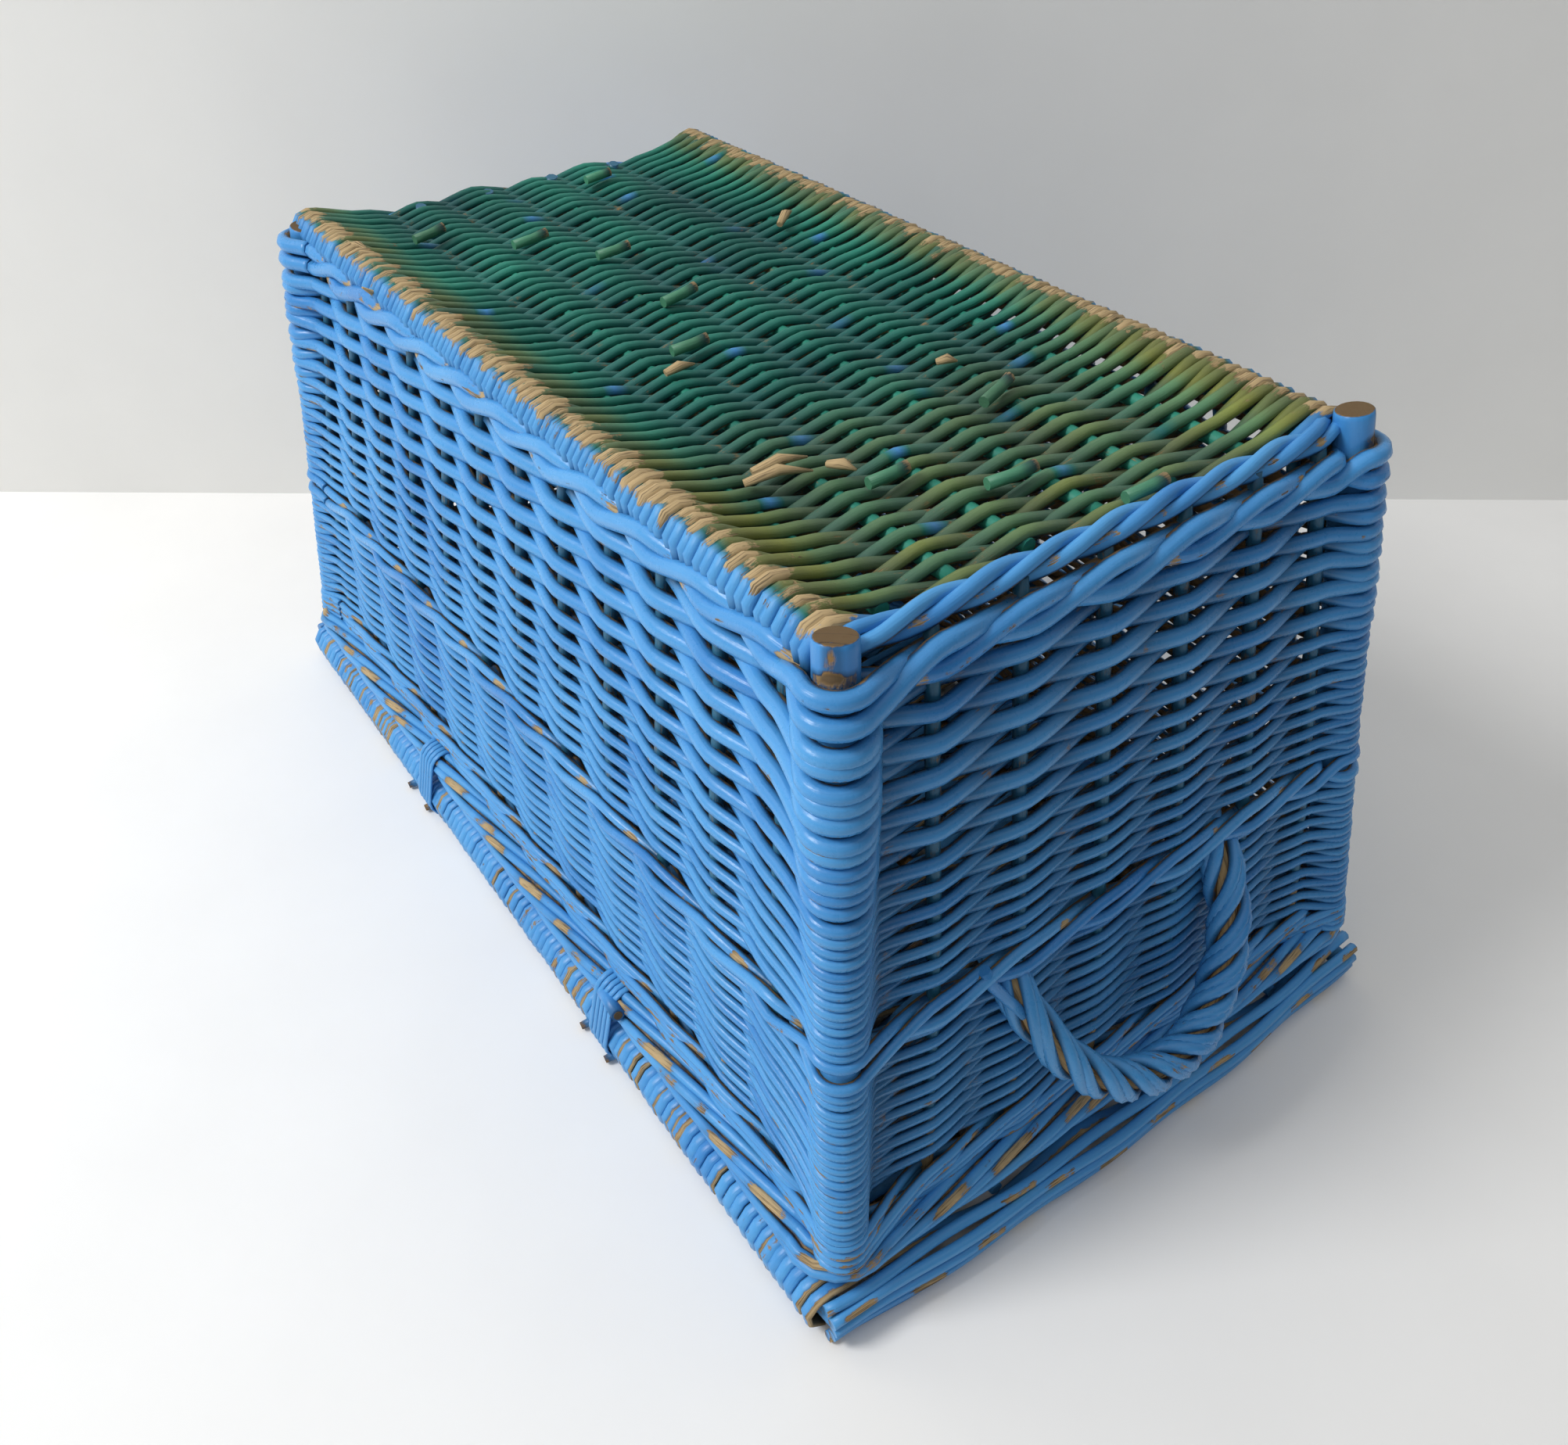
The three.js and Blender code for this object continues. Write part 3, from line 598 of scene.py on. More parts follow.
# %% The path of one round
def weave_path(level, radius, sides, lifts, per_bay, valleys):
    knots = []
    for index, (wall, k) in enumerate(STATIONS):
        out = flat_way(wall["out"])
        along = flat_way(wall["along"])
        height = level + lifts[index]
        side = sides[index]
        if k is not None:
            centre = stake_centre(wall, k, height)
            knots.append((centre + out * side * SWING * (STAKE_RADIUS + radius), along, side))
            continue
        centre = post_centre(wall, height)
        last = stake_centre(*STATIONS[index - 1], height)
        after = stake_centre(*STATIONS[(index + 1) % len(STATIONS)], height)
        on_end_wall = wall["along"][0] == 0
        deep_before = valleys and on_end_wall and (centre - last) @ along > VALLEY_FROM
        deep_after = valleys and not on_end_wall and (after - centre) @ -out > VALLEY_FROM
        if deep_before:
            dent = last + along * ((centre - last) @ along - VALLEY_REACH) - out * VALLEY_DEPTH
            knots.append((dent, along, -0.1))
        turns = (-50 if deep_before else -18, -12, 20, 45, 70, 102, 140 if deep_after else 108)
        for turn in turns if side > 0 else (45,):
            angle = math.radians(turn)
            facing = out * math.cos(angle) + along * math.sin(angle)
            running = along * math.cos(angle) - out * math.sin(angle)
            reach = POST_RADIUS + radius - 0.8 if side > 0 else -POST_RADIUS
            knots.append((centre + facing * reach, running, side))
        if deep_after:
            dent = after + out * ((after - centre) @ -out - VALLEY_REACH) - along * VALLEY_DEPTH
            knots.append((dent, -out, -0.1))
    return smooth_curve(knots, True, per_bay, 2, 13)


# The rim wale and the rows near it dip at the corners, where the border pulls them down
CORNER_PULL = np.array(
    [
        1.0 if k is None else {0: 0.45, 1: 0.12}.get(min(k, len(wall["stakes"]) - 1 - k), 0.0)
        for wall, k in STATIONS
    ]
)
print("corner stations", int((CORNER_PULL == 1).sum()))

# %% [markdown]
# ## The siding
# About fifty rounds of plain weave fill the walls. Each round starts on the other side of
# the stakes from the one before, which gives the brick pattern. The paint lies thick on the
# parts of a rod that stand out and face outward. It thins out where a rod dives behind a
# stake, and never reached the inside. The end walls get more painted shade than the long
# walls, in their hollows and under each rod. Every round is four rods laid end to end, each
# with its own tone.

# %% How the siding took its paint and its painted shade
def siding_coat_and_shade(line, outness, level, up_part, out_part):
    reach_x, reach_y = lean(level)
    on_end = smooth(reach_x - 10, reach_x - 4, np.abs(line[:, 0])) * (np.abs(line[:, 1]) < reach_y + 4)
    long_wall = smooth(-0.95, 0.1, outness)
    # On the end walls the coat is lower, falls off further up the crest and is lower under each rod: the
    # material turns that into painted shade. Its least is higher there, so the shade reads as dark paint
    end_wall = smooth(-0.3, 1.0, outness)
    shown = long_wall * (1 - on_end) + end_wall * on_end
    shown = (0.48 + 0.52 * shown - 0.2 * on_end)[:, None]
    under = 1 - 0.35 * on_end[:, None] * smooth(-0.1, 0.9, -up_part)
    least = (0.12 + 0.2 * on_end)[:, None]
    coat = least + (1 - least) * smooth(-0.6, 0.3, out_part) * shown * under
    return coat, on_end


print("siding paint: a coat for each point of a round")

# %% Siding weave
SIDING_TOP = 312.0
SIDING_END = 68
FINE_BELOW = 236
RODS_PER_ROUND = 4
HANDLE_BAND = (150.0, 171.0)
siding = RodBundle()
level = SIDING_TOP
row = 0
while level > SIDING_END:
    radius = np.interp(level, RADIUS_LEVELS, ROW_RADII) * dice.uniform(0.95, 1.04)
    in_and_out = [1.0 if k is None or (i + row) % 2 == 0 else -1.0 for i, (_, k) in enumerate(STATIONS)]
    fine = level < FINE_BELOW
    dip = -5.0 * np.clip((150 - level) / 78, 0, 1) * CORNER_PULL
    lifts = dip + dice.normal(0, 0.30 if fine else 0.6, len(STATIONS)) * (1 + 0.9 * (CORNER_PULL == 1))
    line, outness = weave_path(level, radius, in_and_out, lifts, 5 if fine else 6, True)
    sides = 6 if fine else 8
    up_part, out_part = around(sides)
    swell = 1 + 0.07 * np.sin(np.arange(len(line)) * 0.031 + dice.uniform(0, 6))
    rod_ends = np.sort(dice.integers(0, len(line), RODS_PER_ROUND))
    rod_number = np.searchsorted(rod_ends, np.arange(len(line))) % RODS_PER_ROUND
    coat, on_end = siding_coat_and_shade(line, outness, level, up_part, out_part)
    crest = smooth(0.4, 1.0, out_part) * smooth(0.2, 1.0, outness)[:, None]
    under_edge = smooth(0.25, 0.75, -up_part) * smooth(-0.3, 0.5, out_part)
    worn = (0.2 + 0.35 * dice.uniform(0, 1, RODS_PER_ROUND)[rod_number])[:, None]
    rub = (0.45 - 0.3 * on_end)[:, None] * under_edge + crest * worn
    tone = dice.uniform(0, 1, RODS_PER_ROUND)[rod_number]
    siding.add(line, radius * swell, (0, 0, 1), sides=sides, closed=True, coat=coat, rub=rub, tone=tone)
    row += 1
    level -= float(np.interp(level, PITCH_LEVELS, ROW_PITCHES))
    if HANDLE_BAND[0] < level < HANDLE_BAND[1]:
        level = HANDLE_BAND[0] - 0.5
print("siding rounds", row)
siding_nodes = ["back_siding", "right_siding", "front_siding", "left_siding"]
siding.make("woven_siding", blue_willow, "basket", "blue_paint", *siding_nodes)

# %% [markdown]
# ## The three wales
# A wale is a firmer band: three strands travel together, and each passes in front of two
# stakes and behind one, climbing over its neighbours. So its strokes lie like a flattened
# rope. The band under the base has thick rods and the one at the handles thin ones. In the
# band at the rim every strand is a pair of thin rods. A strand loses its paint in patches
# just before it dives behind a stake.

# %% Wale
def add_wale(bundle, level, radius, climb, pair, dip, wear, proud):
    up_part, out_part = around(8)
    for strand in range(3):
        turns = np.array([((i - strand) % 3) / 3 for i in range(len(STATIONS))])
        push = 0.25 - 1.6 * np.cos(2 * math.pi * turns)
        swing = 1.12 * push / (1 + np.abs(push) ** 3) ** (1 / 3)
        swing = np.where(swing > 0, 1.25 * swing + proud, 0.55 * swing)
        lifts = -climb * np.sin(2 * math.pi * turns) + dip * CORNER_PULL
        tone = dice.uniform(0, 1)
        for offset in (-radius * 0.97, radius * 0.97) if pair else (0.0,):
            jitter = dice.normal(0, 0.3, len(STATIONS))
            line, outness = weave_path(level + offset, radius, swing, lifts + jitter, 6, False)
            inside = smooth(-0.8, 0.3, outness)[:, None]
            coat = 0.08 + 0.92 * smooth(-0.7, 0.3, out_part) * (0.25 + 0.75 * inside)
            crest = smooth(0.3, 1.0, out_part) * smooth(0.0, 1.0, outness)[:, None]
            diving = np.exp(-(((outness[:, None] - 0.4) / 0.3) ** 2)) * smooth(-0.1, 0.6, out_part)
            patch = 0.5 + 0.5 * np.sin(np.arange(len(line)) * 0.023 + dice.uniform(0, 6))[:, None]
            rub = crest * (wear + 0.3 * dice.uniform(0, 1)) + (0.35 + 0.75 * patch) * diving
            swell = 1 + 0.06 * np.sin(np.arange(len(line)) * 0.045 + dice.uniform(0, 6))
            tones = np.clip(tone + dice.uniform(-0.2, 0.2), 0, 1)
            bundle.add(line, radius * swell, (0, 0, 1), coat=coat, rub=rub, tone=tones)


# %% Upsett, handle wale and rim wale
upsett = RodBundle()
add_wale(upsett, 327.8, 4.5, 6.0, pair=False, dip=0.0, wear=0.3, proud=0.0)
upsett.make("upsett_rods", blue_willow, "basket", "blue_paint", "upsett_wale")
handle_wale = RodBundle()
add_wale(handle_wale, 160.5, 3.0, 6.4, pair=False, dip=0.0, wear=0.25, proud=0.35)
handle_wale.make("handle_wale_rods", blue_willow, "basket", "blue_paint", "handle_wale")
rim_wale = RodBundle()
add_wale(rim_wale, 57.5, 2.6, 5.4, pair=True, dip=-4.0, wear=0.3, proud=0.75)
rim_wale.make("rim_wale_rods", worn_willow, "basket", "worn_willow", "rim_wale")

# %% [markdown]
# ## The border
# At the rim the stakes are laid down and plaited round a core of bare rods. The plait reads
# as four double strands that wind round the core, one turn in about 290 mm. A ring of
# points with rounded corners is the axis, and the strands are helices round it. Tan lenses
# every 50 mm show where the paint is gone from the outer side.

# %% Border axis
BORDER_HALF = (322.0, 181.0)
BORDER_LEVEL = 39.5
CORNER_ROUND = 22.0
CORNER_PROUD = 4.0
STATION_MM = 7.0


def rounded_ring(half_x, half_y, level):
    points = []
    for turn, (sx, sy) in enumerate(((1, -1), (1, 1), (-1, 1), (-1, -1))):
        centre = np.array([sx * (half_x - CORNER_ROUND), sy * (half_y - CORNER_ROUND), level])
        for bend in np.radians(np.arange(0, 91, 15)):
            angle = bend + math.radians(90 * turn - 90)
            reach = CORNER_ROUND + CORNER_PROUD * math.sin(2 * bend)
            points.append(centre + reach * np.array([math.cos(angle), math.sin(angle), 0]))
    points = np.array(points + points[:1])
    lengths = np.concatenate([[0], np.cumsum(np.linalg.norm(np.diff(points, axis=0), axis=1))])
    count = int(lengths[-1] / STATION_MM)
    places = np.arange(count) * lengths[-1] / count
    return np.stack([np.interp(places, lengths, points[:, i]) for i in range(3)], -1), lengths[-1]


border_axis, border_length = rounded_ring(*BORDER_HALF, BORDER_LEVEL)
print("border length", round(border_length))


# %% Strands that wind round an axis
def wound_strand(axis, reference, orbit, angle, closed):
    ahead = np.roll(axis, -1, 0)
    behind = np.roll(axis, 1, 0)
    if not closed:
        ahead[-1] = axis[-1]
        behind[0] = axis[0]
    tangent = ahead - behind
    tangent /= np.linalg.norm(tangent, axis=1, keepdims=True)
    reference = np.broadcast_to(np.asarray(reference, float), axis.shape)
    first = reference - (reference * tangent).sum(1, keepdims=True) * tangent
    first /= np.linalg.norm(first, axis=1, keepdims=True)
    second = np.cross(tangent, first)
    radial = np.cos(angle)[:, None] * first + np.sin(angle)[:, None] * second
    return axis + radial * orbit[:, None], radial


# %% Plaited border
BORDER_CORE_RADIUS = 5.6
BORDER_STRAND_RADIUS = 2.8
BORDER_ORBIT = 7.6
BORDER_TURN_MM = 290
PATCH_MM = 50
BARE_SIDE = 0.85
border = RodBundle()
border.add(border_axis, BORDER_CORE_RADIUS, (0, 0, 1), closed=True, coat=0.3, rub=0.4)
turns = round(border_length / BORDER_TURN_MM)
place = np.arange(len(border_axis)) / len(border_axis)
face_part, _ = around(8)
for strand in range(4):
    tone = dice.uniform(0, 1)
    for pair in (-0.32, 0.32):
        angle = 2 * math.pi * (strand / 4 - turns * place) + pair
        orbit = BORDER_ORBIT + 0.5 * np.sin(place * 12 * math.pi + strand * 2) + dice.uniform(-0.2, 0.3)
        line, radial = wound_strand(border_axis, (0, 0, 1), orbit, angle, True)
        coat = 0.15 + 0.85 * smooth(-0.7, 0.3, face_part) * np.ones((len(line), 1))
        lit = smooth(-0.3, 0.8, radial[:, 2])[:, None]
        turned = np.angle(np.exp(1j * (angle - BARE_SIDE)))
        cycle = (place * border_length / PATCH_MM) % 1 - 0.5
        lens = np.exp(-((cycle / 0.34) ** 2) - (turned / 0.38) ** 2)[:, None]
        rub = smooth(0.0, 0.8, face_part) * (0.12 + 0.12 * lit + 0.95 * lens)
        coat = coat * (1 - 0.75 * lens)
        radius = BORDER_STRAND_RADIUS * dice.uniform(0.93, 1.06)
        border.add(line, radius, radial, closed=True, coat=coat, rub=rub, tone=tone)
# One thick rod ends in the border, and its dark sawn end shows
end_rod = [(112, -187.0, 40.0), (130, -189.5, 44.0), (145, -191.5, 47.0)]
border.add(end_rod, 3.9, (0, 0, 1), sides=12, coat=np.array([1.0, 1.0, 0.5]), rub=0.0, tone=1.0)
border.add([end_rod[1], (145.5, -191.6, 47.1)], 2.5, (0, 0, 1), sides=12, coat=0.05, rub=0.0)
border.make("plaited_border", worn_willow, "basket", "worn_willow", "border")

# %% [markdown]
# ## Base and lid
# Both are flat panels of the same make: long sticks with rods woven across them. Each rod
# goes over one stick and under the next, and wraps round the thick outer stick at both
# ends. The underside of the base was painted green, which has yellowed towards the right,
# and its edges blue. The paint is rubbed off along the two long edges. Cut ends of rods and
# splinters lie on it at the places where the old trunk has them.

# %% Path across a panel
def panel_path(x, sticks, outer, swing, reach, level, sag, parity, bow):
    knots = []
    for turn in (-75, -30, 15, 55, 92):
        angle = math.radians(180 - turn)
        point = np.array([x, -outer + reach * math.cos(angle), level + reach * math.sin(angle)])
        knots.append((point, np.array([0, math.sin(angle), -math.cos(angle)]), 1.0))
    mirror = [(p * [1, -1, 1], t * [1, 1, -1], s) for p, t, s in knots[::-1]]
    for index, y in enumerate(sticks):
        over = 1 if (index + parity) % 2 == 0 else -1
        point = np.array([x, y, level - sag + over * swing])
        knots.append((point, np.array([0, 1.0, 0]), over))
    line, _ = smooth_curve(knots + mirror, False, 5, 1, 14)
    line[:, 0] += bow * (1 - (line[:, 1] / outer) ** 2)
    return line


print("panel path: across the sticks and round both outer ones")


# %% Base sticks
BASE_STICKS = [-105, -70, -30, 10, 52, 98]
BASE_AXIS = 336.0
BASE_SAG = 2.5
BASE_OUTER = 137.5
OUTER_STICK_RADIUS = 6.6
base_sticks = RodBundle()
for y in BASE_STICKS + [-BASE_OUTER, BASE_OUTER]:
    outer = abs(y) > 120
    xs = np.linspace(-278, 262, 30) if outer else np.linspace(-266, 246, 30)
    z = BASE_AXIS if outer else BASE_AXIS - BASE_SAG
    radius = OUTER_STICK_RADIUS if outer else 3.6
    line = np.stack([xs, y + 0.8 * np.sin(xs / 60 + y), np.full(30, z)], -1)
    base_sticks.add(line, radius, (0, 0, 1), sides=10, coat=1.1, rub=0.1, hue=1.0)
base_stick_nodes = [f"base_stick_{i}" for i in range(1, 7)]
base_stick_nodes += ["base_outer_stick_back", "base_outer_stick_front"]
base_sticks.make("base_panel_sticks", bare_willow, "basket", "bare_willow", *base_stick_nodes)

# %% Marks on the base
# Rods that end on the base: place, length in mm, heading in radians, and how far the tip rises
CUT_ENDS = [
    (-202, -81, 20, 1.7, 4.5), (-157, -36, 22, 1.6, 4.5), (-111, -7, 20, 1.5, 4),
    (-35, -10, 22, 1.7, 4.5), (24, -40, 20, 1.5, 4), (147, 49, 24, 1.9, 5),
    (215, 1, 24, 1.4, 5), (254, 37, 22, 1.5, 4), (183, -42, 20, 1.5, 4), (-235, 50, 18, 1.6, 3),
]
SPLINTERS = [
    (152, -104, 30, 1.25, 4), (146, -96, 26, 1.4, 3), (-90, 84, 22, 2.2, 3), (43, -76, 16, 1.5, 2),
    (159, -66, 14, 0.4, 2), (-214, -138, 26, 0.3, 3), (-150, -139, 16, -1.2, -6), (110, 36, 10, 0.8, 2),
]
print("marks", len(CUT_ENDS), "cut ends", len(SPLINTERS), "splinters")

# %% Base weave
BLUE_END = 252
BASE_SWING = 4.2
BASE_WEAVE_FROM = -276.0
BASE_WEAVE_TO = 261
base_weave = RodBundle()
side_part, under_part = around(8)
upward = -under_part
x = BASE_WEAVE_FROM
row = 0
while x < BASE_WEAVE_TO:
    radius = dice.uniform(2.75, 3.15) + 0.35 * float(smooth(80, 200, x))
    swing = BASE_SWING * (1 - 0.7 * float(smooth(246, 258, x)))
    drop = BASE_SAG + 7 * float(smooth(252, 268, x))
    bow = dice.normal(0, 0.7)
    reach = OUTER_STICK_RADIUS + radius
    line = panel_path(x, BASE_STICKS, BASE_OUTER, swing, reach, BASE_AXIS, drop, row, bow)
    line[:, 0] += np.sin(line[:, 1] / 55 + dice.uniform(0, 6)) * 0.8

    # Its colour: olive to the right and at the edges, blue round the outer sticks
    yellow = float(smooth(60, 225, x)) * dice.uniform(0.35, 1)
    hue = 0.0 if x > BLUE_END else 1.0 + 0.85 * yellow
    edge = smooth(BASE_OUTER - 30, BASE_OUTER - 6, np.abs(line[:, 1]))
    hue = np.minimum(hue + 0.9 * edge * dice.uniform(0.3, 1) * (hue > 0), 2)
    hue = hue * (1 - smooth(BASE_OUTER - 1, BASE_OUTER + 6, np.abs(line[:, 1])))
    if dice.uniform() < 0.2:
        hue = hue * (1 - smooth(0.93, 1.0, np.sin(line[:, 1] / 11 + dice.uniform(0, 6))))

    # Its paint: thin between the sticks, and rubbed off at the edges
    high = smooth(BASE_AXIS - 4, BASE_AXIS + 6, line[:, 2])
    thin = 1 - 0.45 * edge * (1 - smooth(BASE_OUTER + 2, BASE_OUTER + 8, np.abs(line[:, 1])))
    coat = 0.12 + 0.88 * smooth(-0.8, 0.1, upward) * ((0.4 + 0.6 * high) * thin)[:, None]
    near_stick = np.exp(-(((np.abs(line[:, 1]) - BASE_OUTER) / 7.5) ** 2))
    crest = near_stick * smooth(3, 8, line[:, 2] - BASE_AXIS)
    scuffs = 0.3 * smooth(0.5, 1, np.sin(line[:, 1] / 9 + dice.uniform(0, 6)))
    rub = smooth(-0.5, 0.5, upward) * ((0.3 + scuffs) * high + dice.uniform(0.35, 1.0) * crest)[:, None]
    base_weave.add(line, radius, (1, 0, 0), flat=0.88, coat=coat, rub=rub, hue=hue)
    x += radius * 2 * dice.uniform(0.85, 0.94)
    row += 1
print("rods across the base", row)

# %% Twisted rods along the right edge, cut ends and splinters
TWIST_MM = 96
for strand, radius in ((0, 3.4), (1, 3.2), (2, 3.0)):
    ys = np.linspace(-147, 147, 80)
    twist = ys / TWIST_MM * 2 * math.pi + strand * 2 * math.pi / 3
    xs = 263.5 + 3.6 * np.cos(twist) - 5 * smooth(120, 147, np.abs(ys))
    line = np.stack([xs, ys, 341.0 + 3.4 * np.sin(twist) - 3 * smooth(128, 147, np.abs(ys))], -1)
    patch = smooth(0.72, 1.0, np.sin(twist + 2.2))[:, None]
    coat = 0.2 + 0.8 * smooth(-0.8, 0.1, upward) * np.ones((80, 1))
    base_weave.add(line, radius, (1, 0, 0), coat=coat, rub=0.75 * patch * smooth(-0.4, 0.6, upward))
for x, y, length, turn, rise in CUT_ENDS:
    way = np.array([math.cos(turn), math.sin(turn), 0])
    tip = np.array([x, y, 343.0])
    middle = tip - way * length * 0.4 + [0, 0, 1.0]
    line = np.stack([tip - way * length, middle, tip + [0, 0, rise * 0.6]])
    coat = np.ones((3, 8))
    coat[-1] = 0.24
    base_weave.add(line, 2.9, (0, 0, 1), coat=coat, rub=np.array([0.1, 0.2, 0.75]), hue=1.2)
for x, y, length, turn, rise in SPLINTERS:
    way = np.array([math.cos(turn), math.sin(turn), 0])
    start = np.array([x, y, 343.5])
    line = np.stack([start, start + way * length / 2 + [0, 0, rise], start + way * length + [0, 0, 1.0]])
    base_weave.add(line, [1.6, 2.4, 0.5], (0, 0, 1), flat=1.3, coat=0.3, rub=1.0, hue=1.0)
base_weave.make("base_panel_weave", green_willow, "basket", "green_paint", "base_weave")

# %% Lid sticks
LID_AXIS = 14.0
LID_OUTER = 184.0
LID_STICKS = [-132, -80, -27, 27, 80, 132]
LID_SWING = 8.5
LID_WRAP_RADIUS = 8.3
lid_sticks = RodBundle()
for y in LID_STICKS + [-LID_OUTER, LID_OUTER]:
    outer = abs(y) > 150
    half = 337 if outer else 326
    line = np.stack([np.linspace(-half, half, 30), np.full(30, y), np.full(30, LID_AXIS)], -1)
    coat = 0.6 + 0.9 * smooth(half - 20, half - 4, np.abs(line[:, 0]))
    radius = (6.8 if outer else 5.0) * (1 - 0.3 * smooth(half - 16, half, np.abs(line[:, 0])))
    lid_sticks.add(line, radius, (0, 0, 1), sides=10, coat=coat, rub=0.15)
lid_stick_nodes = [f"lid_stick_{i}" for i in range(1, 7)]
lid_stick_nodes += ["lid_outer_stick_back", "lid_outer_stick_front"]
lid_sticks.make("lid_panel_sticks", bare_willow, "lid", "bare_willow", *lid_stick_nodes)

# %% [markdown]
# The lid is woven like the base, but its wraps are flatter and all blue. Some wraps leave a
# slot between them, where bare wood shows. At both ends five long rods lie on top of each
# other, outside the sticks.

# %% Lid weave
LID_WEAVE_FROM = -326.0
LID_WEAVE_TO = 328
lid_weave = RodBundle()
x = LID_WEAVE_FROM
row = 0
while x < LID_WEAVE_TO:
    radius = dice.uniform(3.4, 3.8)
    bow = math.copysign(7.0, x) * float(smooth(290, 330, abs(x))) + dice.normal(0, 0.5)
    reach = LID_WRAP_RADIUS + radius
    line = panel_path(x, LID_STICKS, LID_OUTER, LID_SWING, reach, LID_AXIS, 0.0, row, bow)
    coat = 0.12 + 0.88 * smooth(-0.8, 0.1, upward) * np.ones((len(line), 1))
    rub = smooth(0.2, 1.0, upward) * (0.12 + 0.5 * dice.uniform(0, 1) ** 3) * np.ones((len(line), 1))
    slot = smooth(0.35, 0.85, side_part) * (dice.uniform(0, 1) < 0.3)
    coat = coat * (1 - 0.6 * slot)
    rub = rub + 0.8 * slot
    lid_weave.add(line, radius, (1, 0, 0), flat=0.45, coat=coat, rub=rub)
    x += 5.9 + (1.9 * dice.uniform(0.2, 1) if dice.uniform(0, 1) < 0.3 else 0.0)
    row += 1
print("rods across the lid", row)

# %% Long rods at the ends of the lid
for end in (-1, 1):
    for out_by, level in ((0.0, 3.6), (2.5, 9.3), (3.0, 15.2), (1.5, 21.0), (-4.0, 25.0)):
        ys = np.linspace(-190, 190, 64)
        bulge = 8 * (1 - (ys / 190) ** 2) + 1.0 * np.sin(ys / 16 + level)
        xs = end * (333 + out_by + bulge)
        line = np.stack([xs, ys, level + 0.7 * np.sin(ys / 23 + 3 * level)], -1)
        line[:, 2] = np.maximum(line[:, 2], 3.4)
        coat = 0.2 + 0.8 * smooth(-0.9, 0.0, side_part * end + 0.5 * upward) * np.ones((64, 1))
        patch = smooth(0.6, 1.0, np.sin(ys / 19 + 5 * level))[:, None]
        rub = 0.7 * patch * smooth(-0.4, 0.6, side_part * end)
        lid_weave.add(line, 3.1, (1, 0, 0), coat=coat, rub=rub)
# Cut ends of rods that stick out under the edge of the lid
for x in (-140, -112, 110, 138):
    line = [(x, -184.0, 6.0), (x - 1.0, -193.0, 4.4), (x - 2.0, -199.5, 3.4)]
    lid_weave.add(line, [2.6, 2.6, 2.2], (0, 0, 1), coat=np.array([1.0, 0.8, 0.1]), rub=0.2)
lid_weave.make("lid_panel_weave", worn_willow, "lid", "worn_willow", "lid_weave")

# %% [markdown]
# ## Roped handles
# Each end wall carries one fixed handle. Its core is a bow rod whose ends run up into the
# wall beside two stakes. Rods are wound round it, two by two in three strands, from one
# leg to the other, which gives a thick rope. At the first leg the strands lie almost along
# the bow, and near the middle they wind tightly. A loose tail lies beside the first leg.

# %% Handle bow
HANDLE_MIDDLE = 3.0
HANDLE_HALF = 70.0
HANDLE_TOP = 154.5
HANDLE_DROP = 78.5
HANDLE_REACH = 50.0
HANDLE_START = 291.0


def bow_axis(end):
    angle = np.linspace(0.0, math.pi, 71)
    z = HANDLE_TOP - HANDLE_DROP * np.sin(angle)
    x = HANDLE_START + 0.083 * (HANDLE_TOP - z) + HANDLE_REACH * np.sin(angle) ** 0.7
    y = HANDLE_MIDDLE - HANDLE_HALF * np.cos(angle)
    line = np.stack([x, y, z], -1)
    first_leg = [line[0] + [-h * 0.9, 0, h] for h in (15, 10, 5)]
    last_leg = [line[-1] + [-h * 0.9, 0, h] for h in (5, 10, 15)]
    line = np.vstack([first_leg, line, last_leg])
    lengths = np.concatenate([[0], np.cumsum(np.linalg.norm(np.diff(line, axis=0), axis=1))])
    places = np.linspace(0, lengths[-1], 90)
    line = np.stack([np.interp(places, lengths, line[:, i]) for i in range(3)], -1)
    for _ in range(2):
        line[1:-1] = (line[:-2] + 2 * line[1:-1] + line[2:]) / 4
    return line * [end, end, 1], places


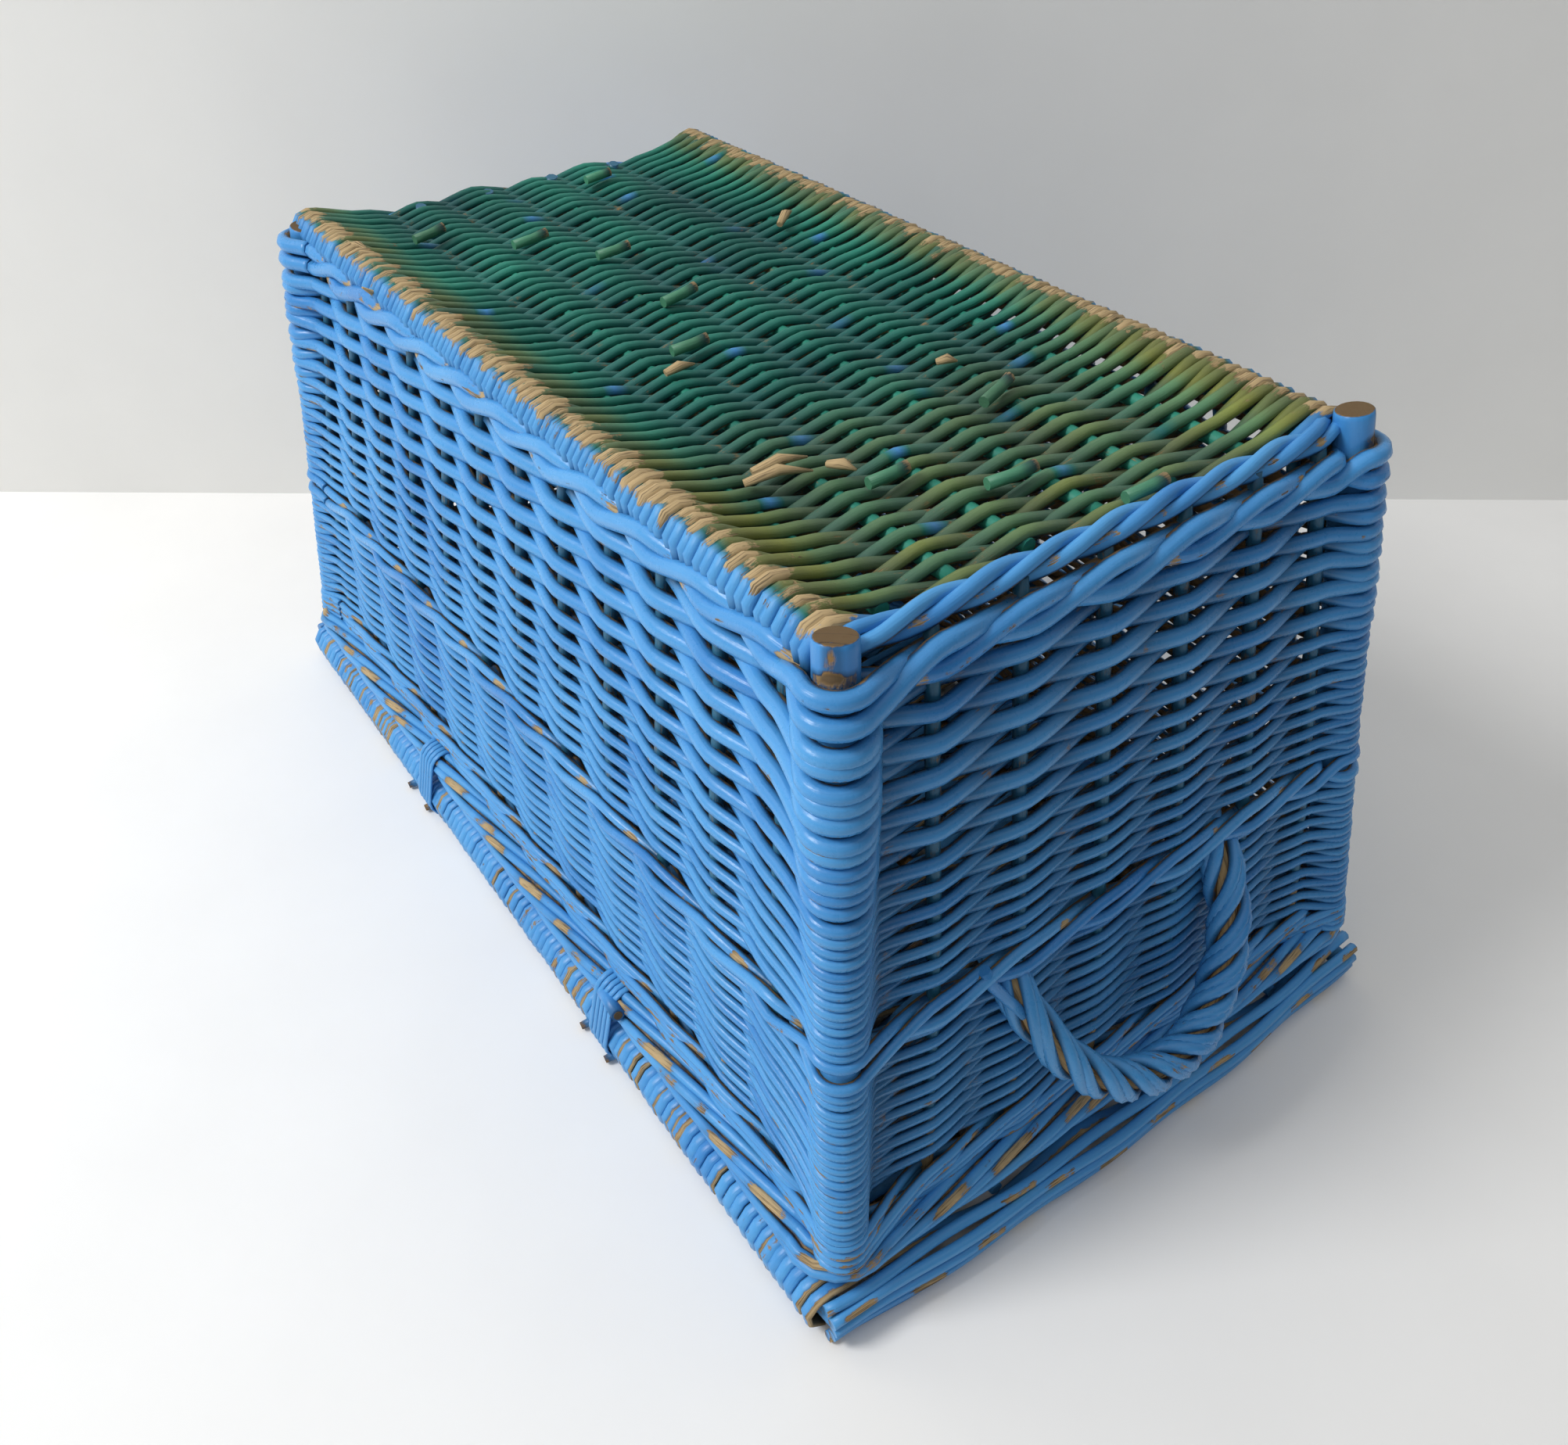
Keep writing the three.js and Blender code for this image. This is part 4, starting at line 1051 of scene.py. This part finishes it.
# %% Handles
HANDLE_CORE_RADIUS = 5.2
HANDLE_STRAND_RADIUS = 3.5
ROPE_SIDES = 7
HANDLE_TAIL = np.array([(303, -86, 167), (305, -82, 156), (309, -75, 145), (314, -68, 134)], float)
rope_face, _ = around(ROPE_SIDES)
for end, side_name in ((1, "right"), (-1, "left")):
    axis, places = bow_axis(end)
    share = places / places[-1]
    core = RodBundle()
    core.add(axis, HANDLE_CORE_RADIUS, (1.0, 0, 0.6), sides=10, coat=0.3, rub=0.65)
    core.make(f"{side_name}_handle_core", bare_willow, "basket", "bare_willow", f"handle_bow_{side_name}")
    rope = RodBundle()
    pitch = np.interp(share, [0, 0.22, 0.42, 0.6, 0.8, 1], [190, 110, 62, 54, 72, 120])
    winding = 2 * math.pi * np.concatenate([[0], np.cumsum(np.diff(places) / pitch[1:])])
    orbit = np.interp(share, [0, 0.2, 0.5, 0.8, 1], [6.4, 7.0, 7.6, 7.8, 7.6])
    for strand in range(3):
        tone = dice.uniform(0, 1)
        for pair in (-0.3, 0.3):
            angle = winding + 2 * math.pi * strand / 3 + pair
            near = orbit + dice.uniform(-0.3, 0.4) + 0.4 * np.sin(share * 14 + strand)
            line, radial = wound_strand(axis, (end * 0.9, 0, 0.3), near, angle, False)
            coat = 0.15 + 0.85 * smooth(-0.6, 0.3, rope_face) * np.ones((len(line), 1))
            low = smooth(0.25, 0.5, share) * (1 - smooth(0.5, 0.75, share))
            rub = smooth(0.2, 1.0, rope_face) * (0.22 + 0.2 * dice.uniform(0, 1) + 0.25 * low[:, None])
            thin_leg = np.interp(share, [0, 0.3, 1], [0.88, 1.0, 1.0])
            radius = HANDLE_STRAND_RADIUS * dice.uniform(0.96, 1.04) * thin_leg
            rope.add(line, radius, radial, sides=ROPE_SIDES, coat=coat, rub=rub, tone=tone)
    rope.add(HANDLE_TAIL * [end, end, 1], 3.0, (end, 0, 0), sides=ROPE_SIDES, rub=0.2)
    rope_nodes = [f"handle_roping_{side_name}_1", f"handle_roping_{side_name}_2"]
    rope.make(f"{side_name}_handle_rope", blue_willow, "basket", "blue_paint", *rope_nodes)

# %% [markdown]
# ## Hinge loops
# Two loops of split cane bind the border to the back stick of the lid. They are the whole
# hinge. Each is one strip, wound five times round both. The outline of one turn is two half
# circles, one behind the border and one behind the stick.

# %% Hinge loops
BORDER_BACK = np.array([-181.0, 39.5])
LID_BACK = np.array([-184.0, 14.0])
BORDER_BACK_RADIUS = 11.0
LID_BACK_RADIUS = 14.2
CANE_TURNS = 5
CANE_MM = 4.0
FLOOR_GAP = 1.2
heading = math.atan2(BORDER_BACK[1] - LID_BACK[1], BORDER_BACK[0] - LID_BACK[0])
outline = []
for centre, radius, start in (
    (BORDER_BACK, BORDER_BACK_RADIUS, heading - math.pi / 2),
    (LID_BACK, LID_BACK_RADIUS, heading + math.pi / 2),
):
    for angle in np.linspace(start, start + math.pi, 9):
        outline.append(centre + radius * np.array([math.cos(angle), math.sin(angle)]))
for number, x_middle in ((1, -112.0), (2, 128.0)):
    line = []
    for step in range(CANE_TURNS * len(outline)):
        y, z = outline[step % len(outline)]
        x = x_middle + CANE_MM * (step / len(outline) - CANE_TURNS / 2)
        line.append((x, y, max(z, FLOOR_GAP)))
    cane = RodBundle()
    cane.add(line, 1.9, (1, 0, 0), flat=0.5, coat=1.0, rub=0.3)
    cane.make(f"hinge_cane_{number}", worn_willow, "basket", "worn_willow", f"hinge_loop_{number}")

# %% [markdown]
# ## Measure and finish
# The last cell prints the box round everything that is rendered, floor and wall aside.

# %% Sizes and finish
low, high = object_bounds()
print("visual box", [round(v, 3) for v in low], [round(v, 3) for v in high])
